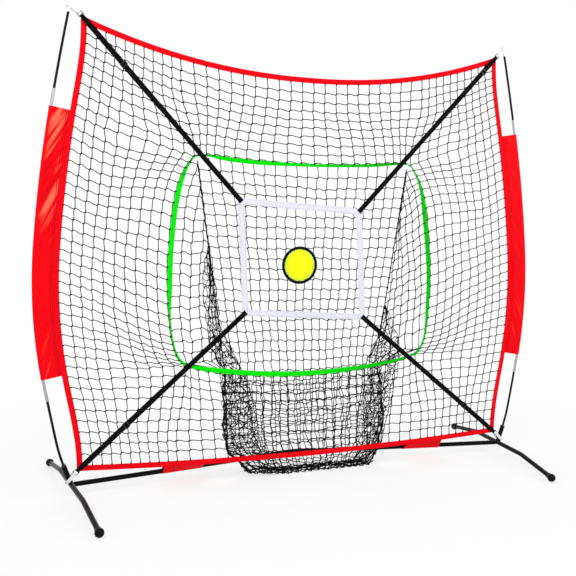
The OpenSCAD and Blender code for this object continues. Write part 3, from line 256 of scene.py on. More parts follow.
finish("strapWebbing", (13, 13, 15), 0.7, 0, 0.03, mottled=(80, 0.6), uneven=(100, 0.1),
       woven=(0.0018, 0.0014, 0.0004), sheen=(0.03, 0.5, rgb(150, 150, 156)))
for fitting, colour, metallic in (("sliderMetal", (30, 30, 33), 0.2), ("ringMetal", (32, 32, 35), 0.3)):
    finish(fitting, colour, 0.3, metallic, mottled=(200, 0.6), uneven=(200, 0.1), grained=(1500, 0.0001),
           coat=(0.4, 0.1))
finish("loopElastic", (238, 238, 240), 0.65, 0, 0.08, mottled=(90, 0.9), uneven=(90, 0.08),
       woven=(0.0011, 0.0016, 0.0004), sheen=(0.15, 0.5))
finish("rivetMetal", (44, 44, 48), 0.3, 0.7, mottled=(260, 0.7), uneven=(250, 0.1), grained=(1600, 0.00008))
# the greener yellow towards the pad's edge is painted shade for its dome
finish("targetVinyl", (254, 254, 6), 0.42, 0, 0.1, mottled=(26, 0.93, 0.4), edged=(rgb(176, 230, 34),),
       uneven=(60, 0.08), grained=(900, 0.00018), coat=(0.15, 0.3)).grained(60, 0.0008, strength=0.4)
finish("targetEdge", (12, 12, 13), 0.7, 0, 0.04, mottled=(120, 0.6), uneven=(90, 0.08),
       woven=(0.0012, 0.0009, 0.0002), stitches=((0.004,), 0.0042, rgb(70, 70, 74)))
print("finishes made:", len(finishes))


def onlySelect(piece):
    if bpy.context.object and bpy.context.object.mode != "OBJECT":
        bpy.ops.object.mode_set(mode="OBJECT")
    bpy.ops.object.select_all(action="DESELECT")
    if piece:
        piece.select_set(True)
    bpy.context.view_layer.objects.active = piece


def applied(piece, kind, **settings):
    onlySelect(piece)
    bpy.ops.object.modifier_add(type=kind)
    modifier = piece.modifiers[-1]
    for key, value in settings.items():
        setattr(modifier, key, value)
    bpy.ops.object.modifier_apply(modifier=modifier.name)


def named(name, finish, slot, *nodes):
    piece = bpy.context.object
    piece.name = piece.data.name = name
    piece.data.materials.clear()
    piece.data.materials.append(finishes[finish])
    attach(piece, rootBody)
    if nodes:
        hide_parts(*nodes)
    return piece


def softened(piece, angle=50):
    onlySelect(piece)
    bpy.ops.object.shade_smooth_by_angle(angle=math.radians(angle))


def gridSheet(alongCount, acrossCount, place):
    # place(i, j) gives x, y, z, u, v in mm, and a fold's crest if it has any, which sets painted highlight and
    # shade
    onlySelect(None)
    bpy.ops.mesh.primitive_grid_add(x_subdivisions=alongCount, y_subdivisions=acrossCount, size=2)
    piece = bpy.context.object
    mesh = piece.data
    spots = np.zeros(len(mesh.vertices) * 3)
    mesh.vertices.foreach_get("co", spots)
    spots = spots.reshape(-1, 3)
    steps = np.rint((spots[:, :2] + 1) / 2 * (alongCount, acrossCount)).astype(int)
    laid = np.array([place(i, j) for i, j in steps]) * mm
    mesh.vertices.foreach_set("co", laid[:, :3].ravel())
    corners = np.zeros(len(mesh.loops), int)
    mesh.loops.foreach_get("vertex_index", corners)
    mesh.uv_layers.active.data.foreach_set("uv", laid[corners, 3:5].ravel())
    if laid.shape[1] > 5:
        mesh.attributes.new("crest", "FLOAT", "POINT").data.foreach_set("value", laid[:, 5] / mm)
    mesh.update()
    return piece


def cleaned(piece, merged=True, capped=False):
    onlySelect(piece)
    bpy.ops.object.mode_set(mode="EDIT")
    bpy.ops.mesh.select_all(action="SELECT")
    if merged:
        bpy.ops.mesh.remove_doubles(threshold=1e-6)
    if capped:
        bpy.ops.mesh.select_all(action="SELECT")
        bpy.ops.mesh.fill_holes(sides=0)
    bpy.ops.mesh.select_all(action="SELECT")
    bpy.ops.mesh.normals_make_consistent(inside=False)
    bpy.ops.object.mode_set(mode="OBJECT")


def swept(stations, outline, looped=False):
    # a station is a centre and two directions, and the outline's points are shares of these
    centres = [Vector(s[0]) for s in stations]
    runs = [0.0]
    for a, b in zip(centres, centres[1:] + centres[:1]):
        runs.append(runs[-1] + (b - a).length)
    count = len(stations) if looped else len(stations) - 1

    def shapeAt(i):
        return outline(i % len(stations)) if callable(outline) else outline

    def place(i, j):
        centre, across, out = stations[i % len(stations)]
        shape = shapeAt(i)
        a, b = shape[j % len(shape)]
        spot = Vector(centre) + a * Vector(across) + b * Vector(out)
        return (*spot, runs[i], a * Vector(across).length)

    piece = gridSheet(count, len(shapeAt(0)), place)
    cleaned(piece, capped=not looped)
    return piece


def flatOutline(width, thick, across=4, roundAt=0.5):
    # the section of a flat tape, from its edge at -width / 2, with rounded edges
    half, r = width / 2, thick / 2
    points = []
    for side, turn in ((-1, 90), (1, -90)):
        for k in range(4):
            angle = math.radians(turn + 180 * k / 3)
            points.append((side * (half - r * roundAt) + r * roundAt * math.cos(angle), r * math.sin(angle)))
        points.extend((side * (half - r) * (1 - 2 * k / across), side * r) for k in range(1, across))
    return points


def cordPiece(name, lines, radius, finish, slot, *nodes, sides=1):
    # lines are lists of (point in mm, thickness share)
    curve = bpy.data.curves.new(name, "CURVE")
    curve.dimensions = "3D"
    curve.bevel_depth = radius * mm
    curve.bevel_resolution = sides
    curve.use_fill_caps = True
    for line in lines:
        spline = curve.splines.new("POLY")
        spline.points.add(len(line) - 1)
        for point, (spot, share) in zip(spline.points, line):
            point.co = (spot[0] * mm, spot[1] * mm, spot[2] * mm, 1)
            point.radius = share
    piece = bpy.data.objects.new(name, curve)
    bpy.context.scene.collection.objects.link(piece)
    onlySelect(piece)
    bpy.ops.object.convert(target="MESH")
    return named(name, finish, slot, *nodes)


def wander(x, y, z, size, seed=0.0):  # smooth noise of about +-1 in three directions, size in mm
    spot = Vector((x / size, y / size, z / size))
    return [noise.noise(spot + Vector((seed + 17.3 * k, 5.1 * k, 9.7 * k))) * 1.8 for k in range(3)]


def blendTo(a, b, share):
    return tuple(p + (q - p) * share for p, q in zip(a, b))


def eased(share):
    share = min(1.0, max(0.0, share))
    return share * share * (3 - 2 * share)


def bisected(low, high, rounds, isBelow):
    for _ in range(rounds):
        middle = (low + high) / 2
        low, high = (middle, high) if isBelow(middle) else (low, middle)
    return low


def fromTable(table, at):
    # straight between the rows of a table whose first column rises
    for (a, p), (b, q) in zip(table, table[1:]):
        if at <= b:
            return p + (q - p) * max(0.0, (at - a) / (b - a))
    return table[-1][1]


# the poles, in mm, as the frame has them
pole = {
    "halfSpan": 1097.5,
    "barHeight": 55,
    "lean": 20,
    "post": 90,
    "arcs": ((110, 8.5), (255, 1.2), (600, 14.5), (600, 5.3), (450, 2.2)),
    "ferrule": 13.6,
    "tube": 22,
    "sweep": 9.5,
}


def poleRuns():
    lean = math.radians(pole["lean"])
    x = pole["halfSpan"] + pole["post"] * math.sin(lean)
    z = pole["barHeight"] + pole["post"] * math.cos(lean)
    runs, start = [], 0.0
    for length, turn in pole["arcs"]:
        turn = math.radians(turn)
        r = length / turn
        runs.append((start, lean, r, (x - r * math.cos(lean), z + r * math.sin(lean))))
        x += r * (math.cos(lean - turn) - math.cos(lean))
        z += r * (math.sin(lean) - math.sin(lean - turn))
        lean -= turn
        start += length
    return runs, start


poleArcs, poleLength = poleRuns()


def poleAt(s):
    return [arc for arc in poleArcs if arc[0] <= max(s, 0)][-1]


def leanAt(s):
    start, lean, r, _ = poleAt(s)
    return lean - (s - start) / r


def polePoint(s, inset=0.0):
    start, _, r, centre = poleAt(s)
    lean = leanAt(s)
    return (centre[0] + (r - inset) * math.cos(lean), centre[1] - (r - inset) * math.sin(lean))


# the net's outline and its meshes, in mm
net = {
    "topHalf": 1043, "top": 2075, "bottomHalf": 1074, "bottom": 112,
    "topSag": 174, "sagPower": 2.15, "bottomSag": 30, "edgePull": 130,
    "hem": 25, "columns": 20, "rows": 18, "pullReach": 3.2,
    "blockLeft": 4, "blockRight": 16, "blockLow": 4, "blockHigh": 14,
    "cord": 2.05,  # radius
}
sleeve = {"reach": 91, "start": 390, "length": 1170, "cloth": 1.0, "gap": 0.5}
rim = {
    "topHalf": 535, "half": 662, "top": 1497, "bottom": 484, "sag": 23, "drop": 60,
    "width": 25, "thick": 3.4, "topCorner": 2.5, "lowCorner": 8.5,
}


def mitre(slope):
    return net["hem"] * (math.sqrt(1 + slope * slope) + slope)


topSlope = net["sagPower"] * net["topSag"] / (net["topHalf"] - net["hem"])
bottomSlope = 2 * net["bottomSag"] / (net["bottomHalf"] - net["hem"])
topIn = (net["topHalf"] - net["hem"], net["top"] - mitre(topSlope))
bottomIn = (net["bottomHalf"] - net["hem"], net["bottom"] + mitre(-bottomSlope))
sleeveInset = sleeve["reach"] + net["hem"] / 2
sleeveEnd = sleeve["start"] + sleeve["length"]
sleeveLow = polePoint(sleeve["start"], sleeveInset)
sleeveHigh = polePoint(sleeveEnd, sleeveInset)
sideLow = math.dist(sleeveLow, bottomIn)
sideHigh = math.dist(topIn, sleeveHigh)
sideAll = sideLow + sleeve["length"] + sideHigh
shareLow, shareHigh = sideLow / sideAll, 1 - sideHigh / sideAll


def bezier(a, b, c, d, t):
    s = 1 - t
    return tuple(w * s ** 3 + 3 * x * t * s * s + 3 * y * t * t * s + z * t ** 3
                 for w, x, y, z in zip(a, b, c, d))


def sideEdge(v):
    pull = net["edgePull"]
    if v < shareLow:
        lean = leanAt(sleeve["start"])
        near = (sleeveLow[0] - pull * math.sin(lean), sleeveLow[1] - pull * math.cos(lean))
        return bezier(bottomIn, (bottomIn[0], bottomIn[1] + pull), near, sleeveLow, v / shareLow)
    if v > shareHigh:
        lean = leanAt(sleeveEnd)
        near = (sleeveHigh[0] + pull * math.sin(lean), sleeveHigh[1] + pull * math.cos(lean))
        return bezier(sleeveHigh, near, (topIn[0], topIn[1] - pull), topIn, (v - shareHigh) / (1 - shareHigh))
    return polePoint(sleeve["start"] + sleeve["length"] * (v - shareLow) / (shareHigh - shareLow), sleeveInset)


def topEdge(u):
    x = 2 * u - 1
    return (x * topIn[0], topIn[1] - net["topSag"] * (1 - abs(x) ** net["sagPower"]))


def bottomEdge(u):
    x = 2 * u - 1
    return (x * bottomIn[0], bottomIn[1] - net["bottomSag"] * (1 - x * x))


def sheetPoint(u, v):
    t, b, r = topEdge(u), bottomEdge(u), sideEdge(v)
    x = (t[0] * v + b[0] * (1 - v) + r[0] * (2 * u - 1)
         - bottomIn[0] * (2 * u - 1) * (1 - v) - topIn[0] * (2 * u - 1) * v)
    z = t[1] * v + b[1] * (1 - v) + r[1] - bottomIn[1] * (1 - v) - topIn[1] * v
    return (x, z)


rimHeight = rim["top"] - rim["bottom"]
cornerHeight = rim["bottom"] + rim["drop"]
rimHalfPoints = [
    (0, rim["top"] - rim["sag"]),
    (rim["topHalf"] * 0.55, rim["top"] - rim["sag"] * 0.6),
    (rim["topHalf"] - 30, rim["top"]),
    (rim["topHalf"] + 30, rim["top"] - 32),
    ((rim["topHalf"] + rim["half"]) / 2 + 24, rim["top"] - rimHeight * 0.155),
    (rim["half"] - 8, rim["top"] - rimHeight * 0.375),
    (rim["half"], rim["top"] - rimHeight * 0.59),
    (rim["half"] - 15, cornerHeight + rimHeight * 0.15),
    (rim["half"] - 48, cornerHeight + 42),
    (rim["half"] - 115, cornerHeight),
    (rim["half"] * 0.6, rim["bottom"] + rim["drop"] * 0.5),
    (rim["half"] * 0.3, rim["bottom"] + rim["drop"] * 0.13),
    (0, rim["bottom"]),
]
rimPoints = rimHalfPoints + [(-x, z) for x, z in rimHalfPoints[-2:0:-1]]


def rimAt(t):
    i = math.floor(t)
    f = t - i
    a, b, c, d = (rimPoints[(i + k) % len(rimPoints)] for k in (-1, 0, 1, 2))
    return tuple(0.5 * (2 * q + (r - p) * f + (2 * p - 5 * q + 4 * r - s) * f * f
                        + (3 * q - p - 3 * r + s) * f ** 3) for p, q, r, s in zip(a, b, c, d))


def rimOut(t):
    a, b = rimAt(t - 0.01), rimAt(t + 0.01)
    d = Vector((b[0] - a[0], b[1] - a[1])).normalized()
    return (-d[1], d[0])


def rimEdge(t, out):
    p, o = rimAt(t), rimOut(t)
    return (p[0] + out * o[0], p[1] + out * o[1])


def blockOnRim(i, j):
    across = (i - net["blockLeft"]) / (net["blockRight"] - net["blockLeft"])
    up = (j - net["blockLow"]) / (net["blockHigh"] - net["blockLow"])
    half = len(rimHalfPoints) - 1
    if j >= net["blockHigh"]:
        t = (2 * across - 1) * rim["topCorner"]
    elif i >= net["blockRight"]:
        t = rim["topCorner"] + (1 - up) * (rim["lowCorner"] - rim["topCorner"])
    elif j <= net["blockLow"]:
        t = rim["lowCorner"] + (1 - across) * 2 * (half - rim["lowCorner"])
    else:
        t = -rim["topCorner"] - (1 - up) * (rim["lowCorner"] - rim["topCorner"])
    return rimEdge(t, rim["width"] / 2)


def netPoint(i, j):
    i0 = min(max(i, net["blockLeft"]), net["blockRight"])
    j0 = min(max(j, net["blockLow"]), net["blockHigh"])
    d = math.hypot(i - i0, j - j0)
    p = sheetPoint(i / net["columns"], j / net["rows"])
    if d >= net["pullReach"]:
        return p
    ease = math.cos(math.pi / 2 * d / net["pullReach"]) ** 2
    q, o = blockOnRim(i0, j0), sheetPoint(i0 / net["columns"], j0 / net["rows"])
    return (p[0] + ease * (q[0] - o[0]), p[1] + ease * (q[1] - o[1]))


netting = {
    # meshes beside the pocket and over its width, and the same upwards
    "across": (10, 21, 10), "up": (9, 23, 9),
    "drift": 4.0, "driftSize": 150, "jitter": 2.2, "jitterSize": 37, "bow": 1.7,
    "intoEdge": 7, "calmFrom": 420, "calm": 0.5,  # the cords to the right of this hang straighter
    "gatherAt": (960, 1640), "gatherReach": 260,  # slack meshes by the top corners
    "knot": ((0.0, 1.6), (0.055, 1.45), (0.12, 1.0), (0.36, 0.96), (0.64, 0.96), (0.88, 1.0), (0.945, 1.45)),
    # how far the rows slip up the side bindings and down the rim, in rows of the outline at each of its rows
    "hemSlip": {-1: ((0, 0), (5, 0.12), (9, 0.2), (14, 0.36), (16, 0.3), (18, 0)),
                1: ((0, 0), (2, 0.1), (5, 0.3), (9, 0.5), (14, 0.72), (15.6, 0.6), (18, 0))},
    "rimSlip": ((0, 0), (4, 0), (6, -0.16), (10, -0.3), (13.5, -0.42), (14, 0), (18, 0)),
    # and the columns along the rim's top, towards the middle
    "topSlip": ((0, 0), (3, 0.08), (5.6, 0.3), (6, 0), (10, 0)),
}
# how far a cord is thrown aside at its knots in x and z, and its wave between them
acrossThrow, upThrow, downThrow = (0, 1.2, 2.4), (1.5, 0, 0.5), (-1.5, 0, -0.5)


def threaded(knots, seed, bow, throw, shares=netting["knot"], sag=0.0):
    # one cord through its knots: it leaves each one on one side and meets the next on the other
    line = []
    knotShare = 0.055
    for a, b in zip(knots, knots[1:]):
        pull = wander(a[0], a[1], a[2], 23, seed)
        length = math.dist(a, b)
        for share, thick in shares:
            x, y, z = blendTo(a, b, share)
            slack = math.sin(math.pi * share) * bow * min(length / 50, 1.2)
            most = min(1, length / 30)
            off = (1 - 2 * share) * min(1, share / knotShare, (1 - share) / knotShare) * most
            calm = netting["calm"] if a[0] > netting["calmFrom"] else 1.0
            wave = math.sin(2 * math.pi * share) * throw[2] * most * (1 + 0.5 * pull[1]) * calm
            line.append(((x + pull[0] * slack + throw[0] * off + (wave if throw[0] else 0),
                          y + abs(pull[1]) * slack * 0.6,
                          z + (0.8 * pull[2] + 0.3) * slack + throw[1] * off + (wave if throw[1] else 0)
                          - sag * math.sin(math.pi * share) * (1 + 0.6 * pull[0])), thick))
    line.append((knots[-1], shares[0][1]))
    return line


def rimAtHeight(z):
    return bisected(2.5, 12.0, 26, lambda t: rimAt(t)[1] > z)


def outlineStep(k, counts, low, high, count):
    # the outline's column or row at a mesh line
    first, middle, last = counts
    if k <= first:
        return low * k / first
    if k <= first + middle:
        return low + (high - low) * (k - first) / middle
    return high + (count - high) * (k - first - middle) / last


def netKnot(i, j):
    # a knot of the net, with i and j counting its meshes
    a = outlineStep(i, netting["across"], net["blockLeft"], net["blockRight"], net["columns"])
    b = outlineStep(j, netting["up"], net["blockLow"], net["blockHigh"], net["rows"])
    aside, level = abs(a - net["columns"] / 2), abs(b - net["rows"] / 2)
    side = -1 if a < net["columns"] / 2 else 1
    beside = min(1.0, (a if side < 0 else net["columns"] - a) / net["blockLeft"])
    outside = a <= net["blockLeft"] or a >= net["blockRight"]
    slip = (fromTable(netting["hemSlip"][side], b) * (1 - beside)
            + fromTable(netting["rimSlip"], b) * beside * outside)
    inwards = (side * fromTable(netting["topSlip"], aside)
               * max(0.0, (net["rows"] - b) / (net["rows"] - net["blockHigh"])) * (b >= net["blockHigh"]))
    x, z = netPoint(a - inwards, b + slip)
    edge = min(i, j, sum(netting["across"]) - i, sum(netting["up"]) - j)
    nearRim = max(aside - (net["blockRight"] - net["blockLeft"]) / 2,
                  level - (net["blockHigh"] - net["blockLow"]) / 2)
    free = min(1.0, edge / 3, max(nearRim, 0) / 1.25)
    drift = wander(x, 0, z, netting["driftSize"])
    jitter = wander(x, 0, z, netting["jitterSize"], 40)
    gatherX, gatherZ = netting["gatherAt"]
    slack = max(0.0, 1 - math.hypot(abs(x) - gatherX, z - gatherZ) / netting["gatherReach"])
    dx, dz = (free * (netting["drift"] * drift[k] + netting["jitter"] * (1 + 2.2 * slack) * jitter[k])
              for k in (0, 2))
    y = 0.4 + free * abs(jitter[1]) * (1.5 + 5 * slack)
    return (x + dx, y, z + dz)


def intoEdge(inner, last):
    d = Vector(last) - Vector(inner)
    return tuple(Vector(last) + d.normalized() * netting["intoEdge"])


def netLines(columnRange, rowRange, columnLines, rowLines):
    lines = []
    for i in columnLines:
        knots = [netKnot(i, j) for j in range(rowRange[0], rowRange[1] + 1)]
        lines.append(ended(knots, upThrow, i * 1.37))
    for j in rowLines:
        knots = [netKnot(i, j) for i in range(columnRange[0], columnRange[1] + 1)]
        lines.append(ended(knots, acrossThrow, j * 2.11 + 50))
    return lines


def ended(knots, throw, seed):
    line = threaded(knots, seed, netting["bow"], throw)
    return [(intoEdge(knots[1], knots[0]), 1.0)] + line + [(intoEdge(knots[-2], knots[-1]), 1.0)]


def buildNets():
    left, right = netting["across"][0], sum(netting["across"][:2])
    low, high = netting["up"][0], sum(netting["up"][:2])
    columns, rows = sum(netting["across"]), sum(netting["up"])
    panels = (
        ("netLeft", "net_left", (0, left), (0, rows), range(1, left + 1), range(1, rows)),
        ("netRight", "net_right", (right, columns), (0, rows), range(right, columns), range(1, rows)),
        ("netTop", "net_top", (left, right), (high, rows), range(left + 1, right), range(high, rows)),
        ("netBottom", "net_bottom", (left, right), (0, low), range(left + 1, right), range(1, low + 1)),
    )
    for name, node, columnRange, rowRange, columnLines, rowLines in panels:
        lines = netLines(columnRange, rowRange, columnLines, rowLines)
        piece = cordPiece(name, lines, net["cord"], "netCord", "net_cord", node)
        print(name, "cords", len(lines), "faces", len(piece.data.polygons))


buildNets()

ribbon = {
    "stations": 620,
    # how wide the ribbon lies at places round the rim, and how far it turns there, in degrees
    "wide": ((-12, 1), (-9.6, 1), (-9.2, 0.8), (-8.6, 0.6), (-8, 0.5), (-7, 0.42), (-6.6, 0.46), (-6.3, 0.7),
             (-6, 0.95), (-5.6, 1), (-4, 1), (-3.6, 0.84), (-3.3, 0.6), (-3, 0.45), (-2.5, 0.34), (-2, 0.34),
             (-1.8, 0.45), (-1.5, 0.82), (-0.7, 0.86), (-0.4, 0.72), (-0.2, 0.6), (0.7, 0.6), (1.4, 0.62),
             (1.8, 0.5), (2.1, 0.24), (2.9, 0.26), (3.4, 0.42), (3.75, 0.6), (3.96, 0.78), (4.18, 0.94),
             (4.5, 1), (4.75, 1), (4.95, 0.96), (5.3, 0.9), (5.7, 0.8), (6.5, 0.74), (6.9, 0.56), (7.3, 0.4),
             (7.9, 0.4), (8.3, 0.46), (9, 0.54), (10, 0.72), (11, 0.97), (12, 1)),
    "turn": ((-12, 0), (-9, 8), (-8, 24), (-7, 34), (-6.4, 24), (-6, 6), (-4, 4), (-3.3, 20), (-2.5, 40),
             (-2, 40), (-1.5, 12), (-0.7, 8), (0, 18), (1.7, 20), (2.2, 14), (3, 8), (4, 14), (4.5, 22),
             (5.5, 16), (6.5, 10), (7.3, -8), (8, -14), (9, -6), (10, 0), (12, 0)),
}


def ribbonPlace(t):
    half = len(rimPoints) / 2
    return (t + half) % (2 * half) - half


def ribbonWide(t):
    return fromTable(ribbon["wide"], ribbonPlace(t))


pocket = {
    "backTop": rim["top"] - rim["sag"] / 2, "backY": 2.3, "thick": 3, "depth": 64, "floor": 3,
    "pouchHalf": 400, "taper": 24, "footHalf": 300, "round": 112,
    "across": 20, "frontAcross": 18, "rowHeight": 50, "pouchTop": rim["bottom"] + rim["drop"],
    "sag": 7, "bow": 2.6, "jitter": 3.4,
    "sideDrop": 20, "sideColumns": 9, "sideLow": 514, "rimTurns": 660,
    # how far the pouch's left and right edges hang to the right
    "swing": (((0, 27), (60, 18), (120, -3), (200, -13), (350, -8), (520, 0)),
              ((0, 39), (150, 36), (350, 21), (520, 0))),
    "lift": 15,  # and its left foot off the floor
    "looseBelow": 540,  # where the knots of the pouch hang looser
    "leftStep": 47, "rightStep": 37, "rightClimb": 100,  # meshes of the sides, and how far the right one's rise
}
backTilt = math.atan((pocket["depth"] - pocket["backY"]) / (pocket["backTop"] - pocket["floor"]))


def swung(lines):
    # the pouch's lines, hung to the right and lifted off the floor at the left foot
    moved = []
    for line in lines:
        moved.append([])
        for (x, y, z), thick in line:
            low = 1 - eased((z - 60) / 140)
            lift = pocket["lift"] * low * eased((-120 - x) / 180)
            left, right = (fromTable(table, z) for table in pocket["swing"])
            hung = x + left + (right - left) * max(0.0, min(1.0, 0.5 + x / 600))
            moved[-1].append(((hung, y, z + lift), thick))
    return moved


def looseness(h):
    return eased((pocket["looseBelow"] - h) / 60)


def seamX(h):
    top, pouchTop, low = pocket["backTop"], pocket["pouchTop"], pocket["round"]
    if h > pouchTop:
        return pocket["pouchHalf"] + (rim["topHalf"] - pocket["pouchHalf"]) * (h - pouchTop) / (top - pouchTop)
    if h > low:
        return pocket["pouchHalf"] - pocket["taper"] * (pouchTop - h) / (pouchTop - low)
    share = (h - pocket["floor"]) / (low - pocket["floor"])
    foot = pocket["footHalf"]
    return foot + (pocket["pouchHalf"] - pocket["taper"] - foot) * max(0.0, share) ** 0.8


def onBack(x, h, out=1.5):
    q = h - pocket["backTop"]
    return (x, pocket["backY"] + pocket["thick"] - q * math.sin(backTilt) - out * math.cos(backTilt),
            pocket["backTop"] + q * math.cos(backTilt) - out * math.sin(backTilt))


def heightsBetween(top, bottom, pitch=pocket["rowHeight"]):
    count = max(1, round((top - bottom) / pitch))
    return [top + (bottom - top) * k / count for k in range(count + 1)]


def rimTopAt(x):
    # the height of the rim's upper run at a place across it
    return rimAt(bisected(0.0, 2.4, 24, lambda t: rimAt(t)[0] < abs(x)))[1]


def backKnot(u, h, seed=0.0):
    p = onBack((2 * u - 1) * seamX(h), h)
    rise = (rimTopAt(p[0]) + 1 - pocket["backTop"]) * max(0.0, 1 - (pocket["backTop"] - h) / 150)
    free = min(1.0, 6 * u, 6 * (1 - u), (pocket["backTop"] - h) / 90, max(0.0, h - pocket["floor"]) / 40)
    jitter = wander(p[0], p[1], p[2], 41, 80 + seed)
    drift = wander(p[0], p[1], p[2], 170, 90 + seed)
    hang = math.sin(math.pi * u) * free
    loose = pocket["jitter"] * (1 + 1.2 * looseness(h))
    return (p[0] + free * (loose * jitter[0] + 6 * drift[0]),
            p[1] + free * (2.5 + 2.5 * jitter[1]) + 3 * hang,
            p[2] + rise + free * (loose * jitter[2] + 5 * drift[2]) - pocket["sag"] * hang)


def frontKnot(u, h):
    x = (2 * u - 1) * seamX(h)
    free = min(1.0, 6 * u, 6 * (1 - u), (rim["bottom"] - h + 10) / 60, max(0.0, h - pocket["floor"]) / 40)
    top = rimBottomAt(x)
    floor = pocket["floor"]
    z = floor + 0.6 + (top - floor) * (h - floor) / (rim["bottom"] - floor)
    jitter = wander(x, 0, h, 39, 130)
    drift = wander(x, 0, h, 150, 140)
    return (x + free * (8 * jitter[0] + 10 * drift[0]), 4.5 + free * abs(3 * jitter[1]),
            max(3.6, z + free * (7 * jitter[2] + 8 * drift[2])))


def rimBottomAt(x):
    # the height of the rim's lower run at a place across it
    return rimAt(bisected(8.6, float(len(rimHalfPoints) - 1), 24, lambda t: rimAt(t)[0] > abs(x)))[1]


def gridLines(knots, seed, bow, skipRows=(), skipColumns=()):
    # knots[row][column], threaded both ways
    lines = []
    for j, row in enumerate(knots):
        if j not in skipRows:
            lines.append(threaded(row, seed + j * 1.9, bow, acrossThrow))
    for i in range(len(knots[0])):
        if i not in skipColumns:
            lines.append(threaded([row[i] for row in knots], seed + 70 + i * 1.3, bow, downThrow))
    return lines


def pocketPiece(name, lines, node):
    return cordPiece(name, swung(lines), net["cord"], "pocketNet", "pocket_net", node)


def buildBack():
    heights = heightsBetween(pocket["backTop"] - 4, pocket["floor"] + 2)
    count = pocket["across"]
    knots = [[backKnot(i / count, h) for i in range(count + 1)] for h in heights]
    lines = gridLines(knots, 3, pocket["bow"], skipRows=(0,), skipColumns=(0, count))
    piece = pocketPiece("pocketBack", lines, "pocket_back")
    print("pocket back faces", len(piece.data.polygons))


def buildFront():
    heights = heightsBetween(rim["bottom"], pocket["floor"] + 2)
    count = pocket["frontAcross"]
    knots = [[frontKnot(i / count, h) for i in range(count + 1)] for h in heights]
    pocketPiece("pocketFront", gridLines(knots, 11, 5.5, skipRows=(0,), skipColumns=(0, count)), "pocket_front")


def sideEnds(side, h):
    # where a row of a side leaves the rim and where it meets the seam behind
    inner = onBack(seamX(h) + 0.6, h)
    if h <= pocket["sideLow"]:
        return (seamX(h) + 0.6, pocket["backY"] + 2, h), inner
    climb = 0
    if side > 0:
        climb = (pocket["rightClimb"] * eased((pocket["backTop"] - h) / 260)
                 * eased((h - pocket["sideLow"]) / 160))
    t = rimAtHeight(min(h + climb, rim["top"] - 6))
    x, z = rimEdge(t, rim["width"] * (0.5 - 0.7 * ribbonWide(side * t)))
    return (x, pocket["backY"] + 0.4, z), inner


def sideCut(side, h):
    # how far the rim has come in below the place where it starts to turn
    top = pocket["rimTurns"]
    if h >= top or h <= pocket["sideLow"]:
        return 0.0 if h >= top else 1e3
    return max(0.0, sideEnds(side, top)[0][0] - sideEnds(side, h)[0][0])


def sideShares(side, wide, h):
    # the columns keep their meshes from the rim on, and the rest are squeezed up to the seam
    step = pocket["leftStep"] if side < 0 else pocket["rightStep"]
    count = pocket["sideColumns"]
    free = eased((h - 470) / 60)
    cut = sideCut(side, h)
    shares = []
    for m in range(count + 1):
        kept = min(max(0.0, m * step - cut), wide)
        last = min(max(0.0, 4 * step - cut), wide)
        squeezed = last + (wide - last) * (m - 4) / (count - 4)
        shares.append(free * (kept if m <= 4 else squeezed) / wide + (1 - free) * m / count)
    return shares


def buildSides():
    for name, node, side, seed in (("pocketRightSide", "pocket_right_side", 1, 0),
                                   ("pocketLeftSide", "pocket_left_side", -1, 60)):
        knots = []
        for h in heightsBetween(pocket["backTop"] - pocket["sideDrop"], pocket["floor"] + 3):
            a, b = sideEnds(side, h)
            wide = math.dist(a, b)
            row = []
            for m, share in enumerate(sideShares(side, wide, h)):
                x, y, z = blendTo(a, b, share)
                free = max(min(1.0, wide / 120), looseness(h)) * min(1.0, 5 * share, 5 * (1 - share))
                near = eased((share - 0.55) / 0.4)
                jitter = wander(x, y, z, 31, 160 + seed)
                wave = 5 * math.cos(math.pi * m) * free * (1 - near)
                low = 8 * looseness(h)
                row.append((side * (x + free * (3 + 5 * near + low) * jitter[0]), y + free * (4 + 5 * jitter[1]),
                            max(3.6, z + free * ((4 + 9 * near) * jitter[2]) - wave)))
            knots.append(row)
        pocketPiece(name, gridLines(knots, 21 + seed, 4.0, skipColumns=(0, 5, 7, pocket["sideColumns"])), node)


gather = {
    # the netting squeezed together along the left and right seam: how far it reaches out and in at each height
    -1: {"out": ((0, 0), (400, 2), (500, 12), (560, 34), (640, 56), (842, 60), (936, 46), (1030, 24),
                 (1110, 2)),
         "in": ((3, 178), (90, 172), (200, 158), (300, 146), (400, 126), (500, 84), (560, 62), (640, 30),
                (700, 8), (1110, 2)),
         "tops": (1110, 680)},
    1: {"out": ((0, 0), (130, 8), (200, 24), (300, 50), (400, 78), (480, 102), (560, 110), (640, 92), (720, 50),
                (800, 4)),
        "in": ((3, 96), (200, 100), (300, 92), (400, 80), (500, 66), (560, 40), (640, 8), (800, 2)),
        "tops": (800, 620)},
    "rowHeight": 33, "columns": 4, "layers": (0.2, 0.75), "jitter": 8.0, "drop": 11,
    # how the columns are drawn to each other in turn, and how deep the cords between them hang
    "apart": 0.34, "loop": 15,
    "ropes": (((0, 0.82), (500, 0.86), (620, 0.97), (1110, 1.0)),
              ((0, 0.2), (450, 0.2), (560, 0.3), (700, 0.45), (1110, 0.6))),
    "ropeStrands": 2, "ropeStep": 12, "ropeReach": 13,
    "short": ((0.0, 1.7), (0.1, 1.0), (0.5, 1.0), (0.9, 1.0)),
}
seams = {"strands": 3, "step": 8.5, "reach": 1.5, "bead": 50, "cord": 1.75, "thin": 0.75}


def gatherSpot(side, h, share, deep):
    table = gather[side]
    out, into = fromTable(table["out"], h), fromTable(table["in"], h)
    beyond = out - (out + into) * share
    back = onBack(seamX(h), h, -1.0)[1]
    front = pocket["backY"] + 3
    deep += (1 - deep) * eased((h - 500) / 60)  # on the back and the side above the pouch
    if h > pocket["sideLow"]:
        deep *= 1 - max(0.0, beyond) / max(60.0, sideEnds(side, h)[0][0] - seamX(h))
    return (side * (seamX(h) - 1 + beyond), front + (back - front) * deep, h)


